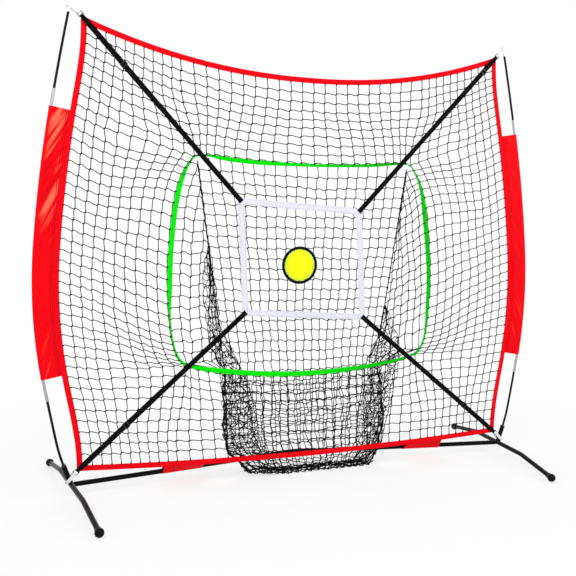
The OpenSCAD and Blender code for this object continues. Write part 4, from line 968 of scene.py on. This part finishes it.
def gatherLines(side):
    lines = []
    count = gather["columns"]
    for layer, deep in enumerate(gather["layers"]):
        top = gather[side]["tops"][layer]
        knots = []
        for h in heightsBetween(top, pocket["floor"] + 2, gather["rowHeight"]):
            row = []
            for m in range(count + 1):
                drawn = gather["apart"] * (-1) ** (m + len(knots) + layer) * (0 < m < count)
                x, y, z = gatherSpot(side, h, (m + drawn) / count, deep)
                jitter = wander(x * 1.7, 60 * layer, z, 26, 300 + 7 * side)
                free = min(1.0, (h - 2) / 30) * min(1.0, (top + 20 - h) / 120)
                row.append((x + gather["jitter"] * jitter[0] * free * (1.0 if 0 < m < count else 0.6),
                            min(max(y + 5 * jitter[1] * free, 5), onBack(0, h)[1] + 2),
                            max(3.4, z + gather["drop"] * jitter[2] * free)))
            knots.append(row)
        for j, row in enumerate(knots):
            loop = gather["loop"] * min(1.0, row[0][2] / 60)
            lines.append(threaded(row, 5 + j + 31 * layer, 6.0, (0, 0, 0), gather["short"], loop))
        for m in range(count + 1):
            column = [row[m] for row in knots]
            lines.append(threaded(column, 90 + 3 * m + layer, 8.0, (0, 0, 0), gather["short"]))
    return lines


def ropeLines(side):
    # cords that hang close together, along the outer and the inner edge of the gathered netting
    lines = []
    top = gather[side]["tops"][0]
    for rope, shares in enumerate(gather["ropes"]):
        for strand in range(gather["ropeStrands"]):
            line = []
            for h in heightsBetween(top - 15, pocket["floor"] + 3, gather["ropeStep"]):
                x, y, z = gatherSpot(side, h, fromTable(shares, h), 0.3 + 0.5 * ((strand * 0.618) % 1))
                wave = wander(strand * 41, rope * 97, h, 26, 400 + side)
                stray = wander(strand * 90, rope * 31, h, 62, 420 + side)
                reach = gather["ropeReach"] * min(1.0, (top + 60 - h) / 500)
                line.append(((x + reach * (wave[0] + 1.3 * stray[0]),
                              y + 4 * wave[1] * (h < 500), max(3.2, z + 2 * wave[2])), 1.0))
            lines.append(line)
    return lines


def buildSeams():
    # the seam's own cords, knotted at each row of meshes, and the netting gathered at its foot
    lines = []
    for side in (-1, 1):
        for strand in range(seams["strands"]):
            line = []
            for h in heightsBetween(pocket["backTop"] - 6, pocket["floor"] + 6, seams["step"]):
                turn = h / 30 + strand * 2 * math.pi / seams["strands"]
                row = abs((h - pocket["backTop"]) / seams["bead"] % 1 - 0.5) * 2  # 1 at a row of meshes
                loose = eased((560 - h) / 120)
                stray = wander(strand * 77, 0, h, 34, 700 + side)
                reach = seams["reach"] * (1 + 1.6 * row ** 6) * (1 + 2 * loose)
                x, y, z = onBack(seamX(h) - 1 - loose * (20 + 24 * stray[0]), h, -2.5)
                thick = seams["thin"] * (1 - 0.25 * loose) + 0.6 * row ** 6 * (1 - 0.7 * loose)
                line.append(((side * (x + reach * math.cos(turn)), y + reach * 0.6 * math.sin(turn),
                              max(3.2, z)), thick))
            lines.append(line)
        lines += gatherLines(side) + ropeLines(side)
    piece = cordPiece("seamGathers", swung(lines), seams["cord"], "seamCord", "seam_cord", "seam_cords",
                      sides=0)
    print("seam gathers", len(lines), "faces", len(piece.data.polygons))


pile = {"strands": 10, "step": 10, "height": 20, "base": 8, "front": 34, "back": 60, "left": -250, "right": 292}


def buildPile():
    # the netting that lies gathered on the floor at the bottom of the pouch
    lines = []
    wide = pile["right"] - pile["left"]
    for strand in range(pile["strands"]):
        line = []
        depth = pile["front"] + (pile["back"] - pile["front"]) * ((strand * 0.618) % 1.0)
        rise = pile["height"] * ((strand * 0.382) % 1.0)
        count = int(wide / pile["step"])
        for k in range(count + 1):
            x = pile["left"] + wide * k / count
            wave = wander(x, strand * 37, 0, 27, 200)
            y = min(61, max(26, depth + 8 * wave[1]))
            z = max(3.6, pile["base"] + rise + 9 * wave[2])
            line.append(((x + 4 * wave[0], y, z), 1.0 + 0.6 * (k % 4 == 0)))
        lines.append(line)
    # the open meshes that lie in front of it
    knots = []
    for row, (y, z, wider) in enumerate(((5, 24, 24), (9, 8, 8), (26, 3.0, -4))):
        half = pocket["footHalf"] + wider
        knots.append([])
        for k in range(27):
            x = -half + 2 * half * k / 26
            wave = wander(x, row * 51, 0, 30, 260)
            knots[-1].append((x + 6 * wave[0], max(4.5, y + 3 * wave[1]), max(3.4, z + 5 * wave[2])))
    lines += gridLines(knots, 17, 5.0)
    pocketPiece("pouchPile", lines, "pocket_floor")


buildBack()
buildFront()
buildSides()
buildSeams()
buildPile()
print("pocket built")

binding = {"step": 7, "height": 1900, "thick": 3.4, "pucker": 0.35, "puckerPitch": 14, "sway": 0.5}


def bindingOutline(run):
    # shares of the tape's width, from the mesh's edge, and half thicknesses in mm
    p = (binding["pucker"] * math.sin(run / binding["puckerPitch"] * 2 * math.pi)
         * (0.6 + 0.8 * noise.noise((run / 40, 0, 0))))
    t = binding["thick"] / 2
    front = [(0.0, 0.5 * t), (0.06, 0.85 * t), (0.135, 0.62 * t + p * 0.3), (0.3, 0.95 * t + p),
             (0.6, t - p * 0.7), (0.82, 0.72 * t), (0.93, t), (0.985, 0.7 * t)]
    back = [(a, -b) for a, b in reversed(front)]
    return front + [(1.0, 0.0)] + back


def buildBinding(name, node, inner, start, end):
    last = len(inner) - 1
    stations, runs = [], [0.0]
    for k, p in enumerate(inner):
        a, b = inner[max(k - 1, 0)], inner[min(k + 1, last)]
        d = Vector((b[0] - a[0], b[1] - a[1])).normalized()
        q = start if k == 0 else end if k == last else (p[0] + d[1] * net["hem"], p[1] - d[0] * net["hem"])
        sway = binding["sway"] * noise.noise((p[0] / 70, p[1] / 70, 3)) if 0 < k < last else 0
        stations.append(((p[0], sway, p[1]), (q[0] - p[0], 0, q[1] - p[1]), (0, -1, 0)))
        if k:
            runs.append(runs[-1] + math.dist(p, inner[k - 1]))
    swept(stations, lambda i: bindingOutline(runs[i]))
    softened(named(name, "hemBinding", "hem_binding", node), 60)


def buildBindings():
    low, high = (net["bottomHalf"], net["bottom"]), (net["topHalf"], net["top"])
    lowLeft, highLeft = ((-x, z) for x, z in (low, high))
    columns, rows = int(2 * net["bottomHalf"] / binding["step"]), int(binding["height"] / binding["step"])
    across = [net["columns"] * k / columns for k in range(columns + 1)]
    up = [net["rows"] * k / rows for k in range(rows + 1)]
    for name, node, inner, start, end in (
            ("bottomBinding", "bottom_hem", [netPoint(i, 0) for i in across], lowLeft, low),
            ("rightBinding", "right_hem", [netPoint(net["columns"], j) for j in up], low, high),
            ("topBinding", "top_hem", [netPoint(i, net["rows"]) for i in across[::-1]], high, highLeft),
            ("leftBinding", "left_hem", [netPoint(0, j) for j in up[::-1]], highLeft, lowLeft)):
        buildBinding(name, node, inner, start, end)


def buildRibbon():
    stations = []
    total = len(rimPoints)
    half, t0 = rim["width"] / 2, rim["thick"] / 2
    for k in range(ribbon["stations"]):
        t = total * k / ribbon["stations"]
        turn, out = math.radians(fromTable(ribbon["turn"], ribbonPlace(t))), rimOut(t)
        wide = sum(ribbonWide(t + step / 8) for step in (-1, 0, 1)) / 3
        edge = rimEdge(t, half)
        # the outer edge is sewn to the net, and the inner edge swings back
        across = Vector((out[0] * math.cos(turn), -math.sin(turn), out[1] * math.cos(turn)))
        square = Vector((out[0] * math.sin(turn), math.cos(turn), out[1] * math.sin(turn)))
        lie = 0.5 * noise.noise((t * 2, 0, 7)) + t0 * 0.4 * math.sin(turn)
        if turn < 0:
            lie += half * wide * math.sin(-turn) * 0.5
        centre = Vector((edge[0], lie, edge[1])) - across * half * wide
        stations.append((tuple(centre), tuple(across * wide), tuple(-square)))
    swept(stations, flatOutline(rim["width"], rim["thick"], 6), looped=True)
    softened(named("rimRibbon", "rimRibbon", "rim_ribbon", "pocket_rim"), 60)


buildBindings()
buildRibbon()
print("bindings and ribbon built")

layers = {"gap": 0.3, "tape": 2.0}
frontLayer = -2 - 3 * (layers["tape"] + layers["gap"]) - layers["gap"] / 2
middleLayer = frontLayer + layers["tape"] + layers["gap"]
tailLayer = middleLayer + layers["tape"] + layers["gap"]
zone = {"width": 600, "height": 516, "z": 1025, "shift": -20, "turn": 3.5, "lean": 2.5,
        "tape": 30, "thick": 0.95, "levelOut": 0.55, "uprightOut": 1.5}


def onZone(x, z, y=0.0):
    turn, lean = math.radians(zone["turn"]), math.radians(zone["lean"])
    return (zone["shift"] + x - z * math.tan(lean), y, zone["z"] - x * math.tan(turn) + z)


def buildZone():
    # four lengths of webbing, crossed and sewn at the corners
    parts = []
    w, h, over = zone["width"] / 2, zone["height"] / 2, zone["tape"] / 2
    turn, lean = math.radians(zone["turn"]), math.radians(zone["lean"])
    alongX, alongZ = (math.cos(turn), 0, -math.sin(turn)), (-math.sin(lean), 0, math.cos(lean))
    for index, (start, end) in enumerate((
            ((-w - over, h), (w + over, h)), ((-w - over, -h), (w + over, -h)),
            ((-w, -h - over), (-w, h + over)), ((w, -h - over), (w, h + over)))):
        isLevel = index < 2
        y = middleLayer + zone["levelOut" if isLevel else "uprightOut"]
        stations = []
        for k in range(61):
            x, z = blendTo(start, end, k / 60)
            free = math.sin(math.pi * k / 60)
            lift = 0.25 * noise.noise((x / 60, z / 60, index)) * free
            sway = 1.2 * noise.noise((x / 190, z / 190, index + 4)) * free
            spot = onZone(x, z + sway, y + lift) if isLevel else onZone(x + sway, z, y + lift)
            stations.append((spot, alongZ if isLevel else alongX, (0, -1, 0)))
        parts.append(swept(stations, flatOutline(zone["tape"], zone["thick"])))
    joined(parts)
    softened(named("strikeZone", "zoneWebbing", "zone_webbing", "strike_zone"), 50)


def joined(parts):
    onlySelect(parts[0])
    for part in parts[1:]:
        part.select_set(True)
    bpy.ops.object.join()


strap = {"ringIn": -4, "ringWidth": 18, "width": 24, "taper": 30, "tail": 500, "thick": 1.9}


def netCorner(sx, sz):
    return (sx * net["topHalf"], net["top"]) if sz > 0 else (sx * net["bottomHalf"], net["bottom"])


def zoneCorner(sx, sz):
    x, _, z = onZone(sx * zone["width"] / 2, sz * zone["height"] / 2)
    return (x, z)


def cornerFrame(sx, sz):
    corner, inner = netCorner(sx, sz), zoneCorner(sx, sz)
    out = Vector((corner[0] - inner[0], 0, corner[1] - inner[1]))
    run = out.length
    out.normalize()
    return Vector((corner[0], 0, corner[1])), out, Vector((-out[2], 0, out[0])), run


def buildStrap(sx, sz):
    origin, out, across, run = cornerFrame(sx, sz)
    foldAt = strap["ringIn"] + 0.8
    front, back = frontLayer + 1, tailLayer + 1
    path = []
    start = -run - 3
    count = 90
    for k in range(count + 1):
        d = start + (foldAt - start) * k / count
        path.append((d, front + 0.35 * noise.noise((d / 90, sx, sz)) * min(1, -(d - foldAt) / 60)))
    middle, r = (front + back) / 2, (back - front) / 2
    for k in range(1, 9):
        a = math.pi * k / 9
        path.append((foldAt + r * math.sin(a), middle - r * math.cos(a)))
    for k in range(46):
        d = foldAt - strap["tail"] * k / 45
        path.append((d, back + 0.3 * noise.noise((d / 80, sx + 5, sz)) * min(1, (foldAt - d) / 60)))
    stations, widths = [], []
    for k, (d, y) in enumerate(path):
        a, b = path[max(k - 1, 0)], path[min(k + 1, len(path) - 1)]
        tangent = Vector((b[0] - a[0], b[1] - a[1])).normalized()
        normal = out * (-tangent[1]) + Vector((0, 1, 0)) * tangent[0]
        narrow = min(1.0, max(0.0, (strap["ringIn"] - 6 - d) / strap["taper"]))
        widths.append(strap["ringWidth"] - 1 + (strap["width"] - strap["ringWidth"] + 1) * narrow)
        stations.append((tuple(origin + out * d + Vector((0, y, 0))), tuple(across), tuple(-normal)))
    return swept(stations, lambda i: flatOutline(widths[i], strap["thick"]))


def buildStraps():
    for name, node, sz in (("upperStraps", "upper_straps", 1), ("lowerStraps", "lower_straps", -1)):
        joined([buildStrap(-1, sz), buildStrap(1, sz)])
        softened(named(name, "strapWebbing", "strap_webbing", node), 50)


loops = {
    "near": 4, "width": 15, "thick": 1.5, "ringOut": 13, "highHook": 24, "postHook": 25,
    "highFar": pole["ferrule"] / 2 + 1.3, "highBeyond": 4.2, "lowFar": 15, "lowBeyond": 3,
}


def beltPoints(near, far, reach, steps=16):
    # the section of a band round two rolls, whose middles are reach apart
    a = math.acos((near - far) / reach)

    def arc(r, x, start, turn):
        angles = [start + turn * k / steps for k in range(steps + 1)]
        return [(x + r * math.cos(angle), r * math.sin(angle)) for angle in angles]

    def straight(start, end):
        return [blendTo(start, end, k / 8) for k in range(1, 8)]

    first, second = arc(near, 0, a, 2 * math.pi - 2 * a), arc(far, reach, -a, 2 * a)
    return first + straight(first[-1], second[0]) + second + straight(second[-1], first[0])


def buildLoop(sx, sz):
    origin, out, _, _ = cornerFrame(sx, sz)
    start = origin + out * loops["ringOut"]
    ringY = middleLayer + layers["tape"] / 2
    if sz > 0:
        hook = polePoint(poleLength - loops["highHook"])
        far, beyond = loops["highFar"], loops["highBeyond"]
    else:
        lean = math.radians(pole["lean"])
        hook = (pole["halfSpan"] + loops["postHook"] * math.sin(lean),
                pole["barHeight"] + loops["postHook"] * math.cos(lean))
        far, beyond = loops["lowFar"], loops["lowBeyond"]
    flat = Vector((sx * hook[0] - start[0], 0, hook[1] - start[2]))
    reach = math.hypot(flat.length, ringY) + beyond
    ahead = (flat + Vector((0, -ringY, 0))).normalized()
    wide = Vector((-flat[2], 0, flat[0])).normalized()
    square = wide.cross(ahead)
    base = Vector((start[0], ringY, start[2]))
    half = loops["thick"] / 2
    line = beltPoints(loops["near"] + half, far + half, reach)
    stations = []
    for k, (a, b) in enumerate(line):
        p, q = line[k - 1], line[(k + 1) % len(line)]
        tangent = Vector((q[0] - p[0], q[1] - p[1])).normalized()
        normal = ahead * tangent[1] - square * tangent[0]
        stations.append((tuple(base + ahead * a + square * b), tuple(wide), tuple(normal)))
    return swept(stations, flatOutline(loops["width"], loops["thick"]), looped=True)


def buildLoops():
    joined([buildLoop(sx, sz) for sx in (-1, 1) for sz in (-1, 1)])
    softened(named("cornerElastics", "loopElastic", "loop_elastic", "corner_loops"), 50)


buildZone()
buildStraps()
buildLoops()
print("zone, straps and loops built")

satin = {
    "along": 300, "around": 72, "fold": 3.4, "small": 0.8, "seamHalf": 0.95, "slant": 2.2,
    # how slack each sleeve hangs at shares of its length
    "slack": {-1: ((0, 0.35), (0.2, 0.15), (0.5, 0.12), (0.62, 0.9), (0.7, 1), (0.97, 1), (1, 0.7)),
              1: ((0, 0.35), (0.15, 0.4), (0.3, 0.14), (0.9, 0.1), (1, 0.15))},
}


def sleevePath(count):
    # the cloth's section, from the seam in front round the pole to the seam behind
    r = pole["ferrule"] / 2 + sleeve["gap"] + sleeve["cloth"] / 2 + 0.1
    reach, half = sleeve["reach"] - net["hem"] / 2 - 0.05, satin["seamHalf"]
    far = math.hypot(reach, half)
    a = math.pi - math.atan(half / reach) - math.acos(r / far)
    arc = 2 * a * r
    flap = math.sqrt(far * far - r * r)
    total = arc + 2 * flap
    tip = (r * math.cos(a), r * math.sin(a))
    path = []
    for k in range(count + 1):
        d = total * k / count
        if d < flap:
            path.append(blendTo((-reach, -half), (tip[0], -tip[1]), d / flap))
        elif d < flap + arc:
            b = -a + (d - flap) / r
            path.append((r * math.cos(b), r * math.sin(b)))
        else:
            path.append(blendTo(tip, (-reach, half), (d - flap - arc) / flap))
    return path, total, flap


def sleeveFold(side, s, w, total, flap, seed):
    # the height of the folds at a place along and round the sleeve, and whether it is a crest, painted with
    # highlight, or a trough, painted with shade
    near = min(w, total - w)
    if near >= flap:
        return 0.0, 0.5
    envelope = math.sin(math.pi * min(1.0, near / flap)) ** 0.6
    ends = min(1.0, (s + 8) / 60, (sleeve["length"] - s + 8) / 60)
    strength = fromTable(satin["slack"][side], s / sleeve["length"])
    q = s + satin["slant"] * near
    big = noise.noise((q / 74, near / 210, seed)) * 1.9
    ridge = 1 - abs(noise.noise((q / 52, near / 160, seed + 9))) * 3.6
    tiny = noise.noise((q / 17, near / 50, seed + 21))
    shape = 0.75 * big + 0.5 * ridge
    # 0.5 is plain satin; above it the colour gets painted highlight, below it painted shade
    crest = 0.5 + 0.5 * envelope * strength * max(-1.0, min(1.0, 1.5 * shape + 0.4 * tiny - 0.12))
    height = satin["fold"] * shape + satin["small"] * tiny
    return envelope * (0.35 + 0.65 * ends) * (0.25 + 0.75 * strength) * height, crest


def buildSleeve(side, name, node, seed):
    path, total, flap = sleevePath(satin["around"])
    normals = []
    for k in range(len(path)):
        p, q = path[max(k - 1, 0)], path[min(k + 1, len(path) - 1)]
        d = Vector((q[0] - p[0], q[1] - p[1])).normalized()
        normals.append((d[1], -d[0]))

    def place(i, j):
        s = sleeve["length"] * i / satin["along"]
        w = total * j / satin["around"]
        lift, crest = sleeveFold(side, s, w, total, flap, seed)
        a, b = path[j][0] + normals[j][0] * lift, path[j][1] + normals[j][1] * lift
        x, z = polePoint(sleeve["start"] + s, -a)
        return (side * x, b, z, s, w, crest)

    piece = gridSheet(satin["along"], satin["around"], place)
    cleaned(piece, merged=False)
    applied(piece, "SOLIDIFY", thickness=sleeve["cloth"] * mm, offset=0)
    piece = named(name, "sleeveSatin", "sleeve_satin", node)
    softened(piece, 60)


buildSleeve(-1, "leftSleeve", "left_sleeve", 2)
buildSleeve(1, "rightSleeve", "right_sleeve", 31)

# the wraps' places are measured along the crossbar from the hubs
wrap = {"leftAt": 516, "rightAt": 434, "length": 196, "along": 40, "around": 48, "gap": 0.9, "fold": 1.6,
        "cloth": 0.9, "over": 1.8}


def hemLow(x):
    return bottomEdge(0.5 + x / bottomIn[0] / 2)[1] - net["hem"] / 2


def wrapSection(x, share):
    # a point of the closed cloth round the crossbar, from the hem and back to it
    sweep = math.radians(pole["sweep"])
    r = pole["tube"] / 2 + wrap["gap"] + 0.5
    c = ((pole["halfSpan"] - x) * math.tan(sweep), pole["barHeight"])
    to = (2 + layers["gap"] + wrap["over"] - c[0], hemLow(x) - c[1])
    d = math.hypot(*to)
    lean, a = math.atan2(to[1], to[0]), math.acos(r / d)
    flap = math.sqrt(d * d - r * r)
    arc = (2 * math.pi - 2 * a) * r
    total = arc + 2 * flap
    run = share * total
    half = wrap["cloth"] / 2
    ends = [(c[0] + d * math.cos(lean) - s * half * math.sin(lean),
             c[1] + d * math.sin(lean) + s * half * math.cos(lean)) for s in (1, -1)]
    tips = [(c[0] + r * math.cos(lean + s * a), c[1] + r * math.sin(lean + s * a)) for s in (1, -1)]
    if run < flap:
        return blendTo(ends[0], tips[0], run / flap), run, total, flap
    if run < flap + arc:
        b = lean + a + (run - flap) / r
        return (c[0] + r * math.cos(b), c[1] + r * math.sin(b)), run, total, flap
    return blendTo(tips[1], ends[1], (run - flap - arc) / flap), run, total, flap


def buildWrap(side, seed):
    sweep = math.radians(pole["sweep"])
    at = wrap["leftAt"] if side < 0 else wrap["rightAt"]
    x0 = pole["halfSpan"] - (at + wrap["length"] / 2) * math.cos(sweep)
    x1 = pole["halfSpan"] - (at - wrap["length"] / 2) * math.cos(sweep)

    def place(i, j):
        x = x0 + (x1 - x0) * i / wrap["along"]
        (y, z), run, total, flap = wrapSection(x, j / wrap["around"])
        near = min(run, total - run)
        if near < flap:
            fold = noise.noise(((x + near) / 26, near / 60, seed))
            y += wrap["fold"] * math.sin(math.pi * near / flap) * fold
        return (side * x, y, z, x - x0, run)

    piece = gridSheet(wrap["along"], wrap["around"], place)
    applied(piece, "SOLIDIFY", thickness=wrap["cloth"] * mm, offset=0)
    return piece


def buildWraps():
    joined([buildWrap(1, 3), buildWrap(-1, 8)])
    piece = named("barWraps", "wrapCloth", "wrap_cloth", "bar_wraps")
    cleaned(piece)
    softened(piece, 60)
    along = (wrap["leftAt"] + wrap["rightAt"]) / 2 * math.cos(math.radians(pole["sweep"]))
    width = wrapSection(pole["halfSpan"] - along, 0)[2]


buildWraps()
print("sleeves and wraps built")

target = {"size": 175, "z": 1004, "shift": -31, "thick": 14, "binding": 10, "gap": 0.3,
          "ringHalf": 7.0, "ringThick": 4.3, "ringOut": 4.4, "ringSteps": 160}


def targetPlace(x, z, out):
    # a point of the target, with out measured forwards from the pocket's back
    h = pocket["backTop"] - (pocket["backTop"] - target["z"]) / math.cos(backTilt)
    return onBack(x + target["shift"], h + z, pocket["thick"] + target["gap"] + out)


padding = {"voxel": 4.5, "pressure": 4, "frames": 20, "reach": 3.2, "start": 0.97,
           "edge": 7, "scallop": 2.5, "scallops": 13,  # how far in the edge is held, and how that line waves
           "quality": 6, "mass": 0.2}


def filledOut(piece, sewn):
    # the pad fills out from a slightly smaller start, with its sewn edge held
    applied(piece, "REMESH", mode="VOXEL", voxel_size=padding["voxel"] * mm)
    before = [vertex.co.copy() for vertex in piece.data.vertices]
    group = piece.vertex_groups.new(name="sewn")
    group.add([vertex.index for vertex in piece.data.vertices if sewn(vertex.co)], 1.0, "REPLACE")
    onlySelect(piece)
    bpy.ops.object.modifier_add(type="CLOTH")
    cloth = piece.modifiers[-1]
    cloth.settings.quality = padding["quality"]
    cloth.settings.mass = padding["mass"]
    cloth.settings.use_pressure = True
    cloth.settings.uniform_pressure_force = padding["pressure"]
    cloth.settings.vertex_group_mass = "sewn"
    cloth.settings.effector_weights.gravity = 0
    for frameNumber in range(1, padding["frames"] + 1):
        bpy.context.scene.frame_set(frameNumber)
    bpy.ops.object.modifier_apply(modifier=cloth.name)
    bpy.context.scene.frame_set(1)
    most = 0
    for vertex, at in zip(piece.data.vertices, before):
        moved = vertex.co - at
        most = max(most, moved.length / mm)
        if moved.length > padding["reach"] * mm:
            vertex.co = at + moved.normalized() * padding["reach"] * mm
    piece.vertex_groups.clear()
    applied(piece, "SUBSURF", levels=1)
    print("pad filled out, vertices", len(piece.data.vertices), "most", round(most, 1), "mm")


def buildTarget():
    radius = target["size"] / 2 - target["binding"]
    onlySelect(None)
    bpy.ops.mesh.primitive_uv_sphere_add(segments=96, ring_count=48, radius=1)
    piece = bpy.context.object
    half = target["thick"] * 0.5
    for vertex in piece.data.vertices:
        x, z, up = vertex.co
        away = min(1.0, math.hypot(x, z))
        pucker = 0.35 * max(0.0, (away - 0.72) / 0.28) * math.sin(26 * math.atan2(z, x))
        if up >= 0:
            out = (half + half * (1 - away ** 2.2) - 1.6 * max(0, (away - 0.9) / 0.1) ** 2
                   + pucker * (1 - away) * 3)
        else:
            out = 0.4 * max(0.0, (away - 0.9) / 0.1) ** 2 * half
        vertex.co = Vector(targetPlace(x * radius, z * radius, max(0.0, out * padding["start"]))) * mm
    cleaned(piece)
    middleOf = Vector(targetPlace(0, 0, 0))
    forwards = (Vector(targetPlace(0, 0, 1)) - middleOf).normalized()

    def outAt(co):
        return (Vector(co) / mm - middleOf).dot(forwards)

    def awayAt(co):
        return (Vector(co) / mm - middleOf - forwards * outAt(co)).length

    def sewn(co):
        angle = math.atan2(co[2] - middleOf[2] * mm, co[0] - middleOf[0] * mm)
        scallop = padding["scallop"] * math.sin(padding["scallops"] * angle)
        return awayAt(co) > radius - padding["edge"] + scallop

    filledOut(piece, sewn)
    for vertex in piece.data.vertices:
        out = outAt(vertex.co)
        vertex.co += forwards * mm * (max(0.2, min(target["thick"] + 1.5, out)) - out)
    # the share out to the edge, which sets the pad's painted shade
    away = [min(1.0, awayAt(vertex.co) / radius) for vertex in piece.data.vertices]
    piece.data.attributes.new("edge", "FLOAT", "POINT").data.foreach_set("value", away)
    piece = named("targetPad", "targetVinyl", "target_vinyl", "target_pad")
    softened(piece, 60)
    stations = []
    middle = radius + target["binding"] / 2 + 0.8
    for k in range(target["ringSteps"]):
        a = 2 * math.pi * k / target["ringSteps"]
        out = target["ringOut"] + 0.15 * math.sin(40 * a)
        spot, tip = (Vector(targetPlace(r * math.cos(a), r * math.sin(a), out)) for r in (middle, middle + 1))
        stations.append((tuple(spot), tuple(tip - spot), (0, -1, 0)))
    half, thick = target["ringHalf"], target["ringThick"]
    section = [(half * math.cos(b), thick * math.sin(b) * (0.8 + 0.2 * abs(math.cos(b))))
               for b in (2 * math.pi * k / 14 for k in range(14))]
    swept(stations, section, looped=True)
    softened(named("targetBinding", "targetEdge", "target_edge", "target_ring"), 60)


buildTarget()
print("target built")

# finishes of the frame's own pieces
nodeFinishes = {
    "footEnamel": "right_foot left_foot",
    "ballRubber": "right_front_ball right_rear_ball left_front_ball left_rear_ball",
    "fittingEnamel": "right_hub left_hub elbow",
    "crossbarEnamel": "right_crossbar left_crossbar",
    "buttonSteel": "right_hub_button left_hub_button right_elbow_button left_elbow_button",
    "springSteel": "right_hub_spring left_hub_spring right_elbow_spring left_elbow_spring",
    "plugPlastic": "post_plugs",
    "rodFibreglass": "right_low_rod left_low_rod right_middle_rods left_middle_rods right_top_rod left_top_rod",
    "ferruleSteel": "right_ferrules left_ferrules",
    "tipPlastic": "tip_caps",
    "sliderMetal": "slider_top_left slider_top_right slider_bottom_left slider_bottom_right",
    "ringMetal": "corner_rings",
    "rivetMetal": "loop_rivets",
}
for coated, nodes in nodeFinishes.items():
    for node in nodes.split():
        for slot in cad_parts[node].material_slots:
            slot.material = finishes[coated]
print("node finishes set")

# each spring's foot and its button's travel, down from its top; the share it would keep is worked out and
# printed, not applied
springs = {"hub": {"foot": 0.047711, "travel": 0.0045}, "elbow": {"foot": 0.045935, "travel": 0.0048}}


def addSprings():
    for side in ("right", "left"):
        for place, sizes in springs.items():
            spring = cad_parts[f"{side}_{place}_spring"]
            top = max((spring.matrix_world @ vertex.co).z for vertex in spring.data.vertices)
            keep = 1 - sizes["travel"] / (top - sizes["foot"])
            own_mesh(spring)
            print(spring.name, "keeps", round(keep, 3))


addSprings()

studio = {
    "floor": 30, "floorColour": (0.92, 0.92, 0.92, 1), "world": 0.62, "backdrop": 1.0,
    "near": 1.4, "far": 2.6, "shadow": 0.3,  # how far the floor's own shade reaches and how much of it is seen
    "below": 0.0005,
}


def seenOrMirrored(tree):
    rays = tree.nodes.new("ShaderNodeLightPath").outputs
    seen = rays["Is Camera Ray"]
    for ray in ("Is Glossy Ray", "Is Transmission Ray"):
        most = tree.nodes.new("ShaderNodeMath")
        most.operation = "MAXIMUM"
        tree.links.new(seen, most.inputs[0])
        tree.links.new(rays[ray], most.inputs[1])
        seen = most.outputs[0]
    return seen


def addFloor():
    onlySelect(None)
    bpy.ops.mesh.primitive_plane_add(size=studio["floor"], location=(0, 0, -studio["below"]))
    floor = bpy.context.object
    floor.name = "studioFloor"
    paint = Finish("floorPaint", studio["floorColour"], 0.9, 0.0, 0.1)
    away = paint.node("VectorMath", {0: paint.coordinates()}, operation="LENGTH").outputs["Value"]
    white = paint.ranged(away, studio["near"], studio["far"], 1 - studio["shadow"], 1.0)
    mix = paint.node("MixShader", {"Fac": paint.math("MULTIPLY", white, seenOrMirrored(paint.tree)),
                                   1: paint.shader.outputs[0], 2: paint.node("Emission", {}).outputs[0]})
    paint.feed(paint.tree.nodes["Material Output"], {"Surface": mix.outputs[0]})
    floor.data.materials.append(paint.material)


def addWorld():
    world = bpy.data.worlds.new("studioWorld")
    bpy.context.scene.world = world
    world.use_nodes = True
    tree = world.node_tree
    mix = tree.nodes.new("ShaderNodeMixShader")
    tree.links.new(seenOrMirrored(tree), mix.inputs["Fac"])
    shades = ((tree.nodes["Background"], studio["world"]),
              (tree.nodes.new("ShaderNodeBackground"), studio["backdrop"]))
    for index, (shade, strength) in enumerate(shades, 1):
        shade.inputs["Color"].default_value = (1, 1, 1, 1)
        shade.inputs["Strength"].default_value = strength
        tree.links.new(shade.outputs[0], mix.inputs[index])
    tree.links.new(mix.outputs[0], tree.nodes["World Output"].inputs["Surface"])


def addLamp(name, place, aim, size, power):
    bpy.ops.object.light_add(type="AREA", location=place)
    lamp = bpy.context.object
    lamp.name = name
    lamp.data.size = size
    lamp.data.energy = power
    lamp.rotation_euler = (Vector(aim) - Vector(place)).to_track_quat("-Z", "Y").to_euler()


addFloor()
addWorld()
addLamp("keyLamp", (-2.6, -3.4, 4.2), (0, 0, 1.0), 2.6, 130)
addLamp("fillLamp", (3.4, -2.6, 2.6), (0, 0, 1.0), 3.0, 55)
addLamp("backLamp", (0.5, 3.2, 3.6), (0, 0, 1.0), 2.6, 45)
bpy.context.scene.view_settings.view_transform = "Standard"
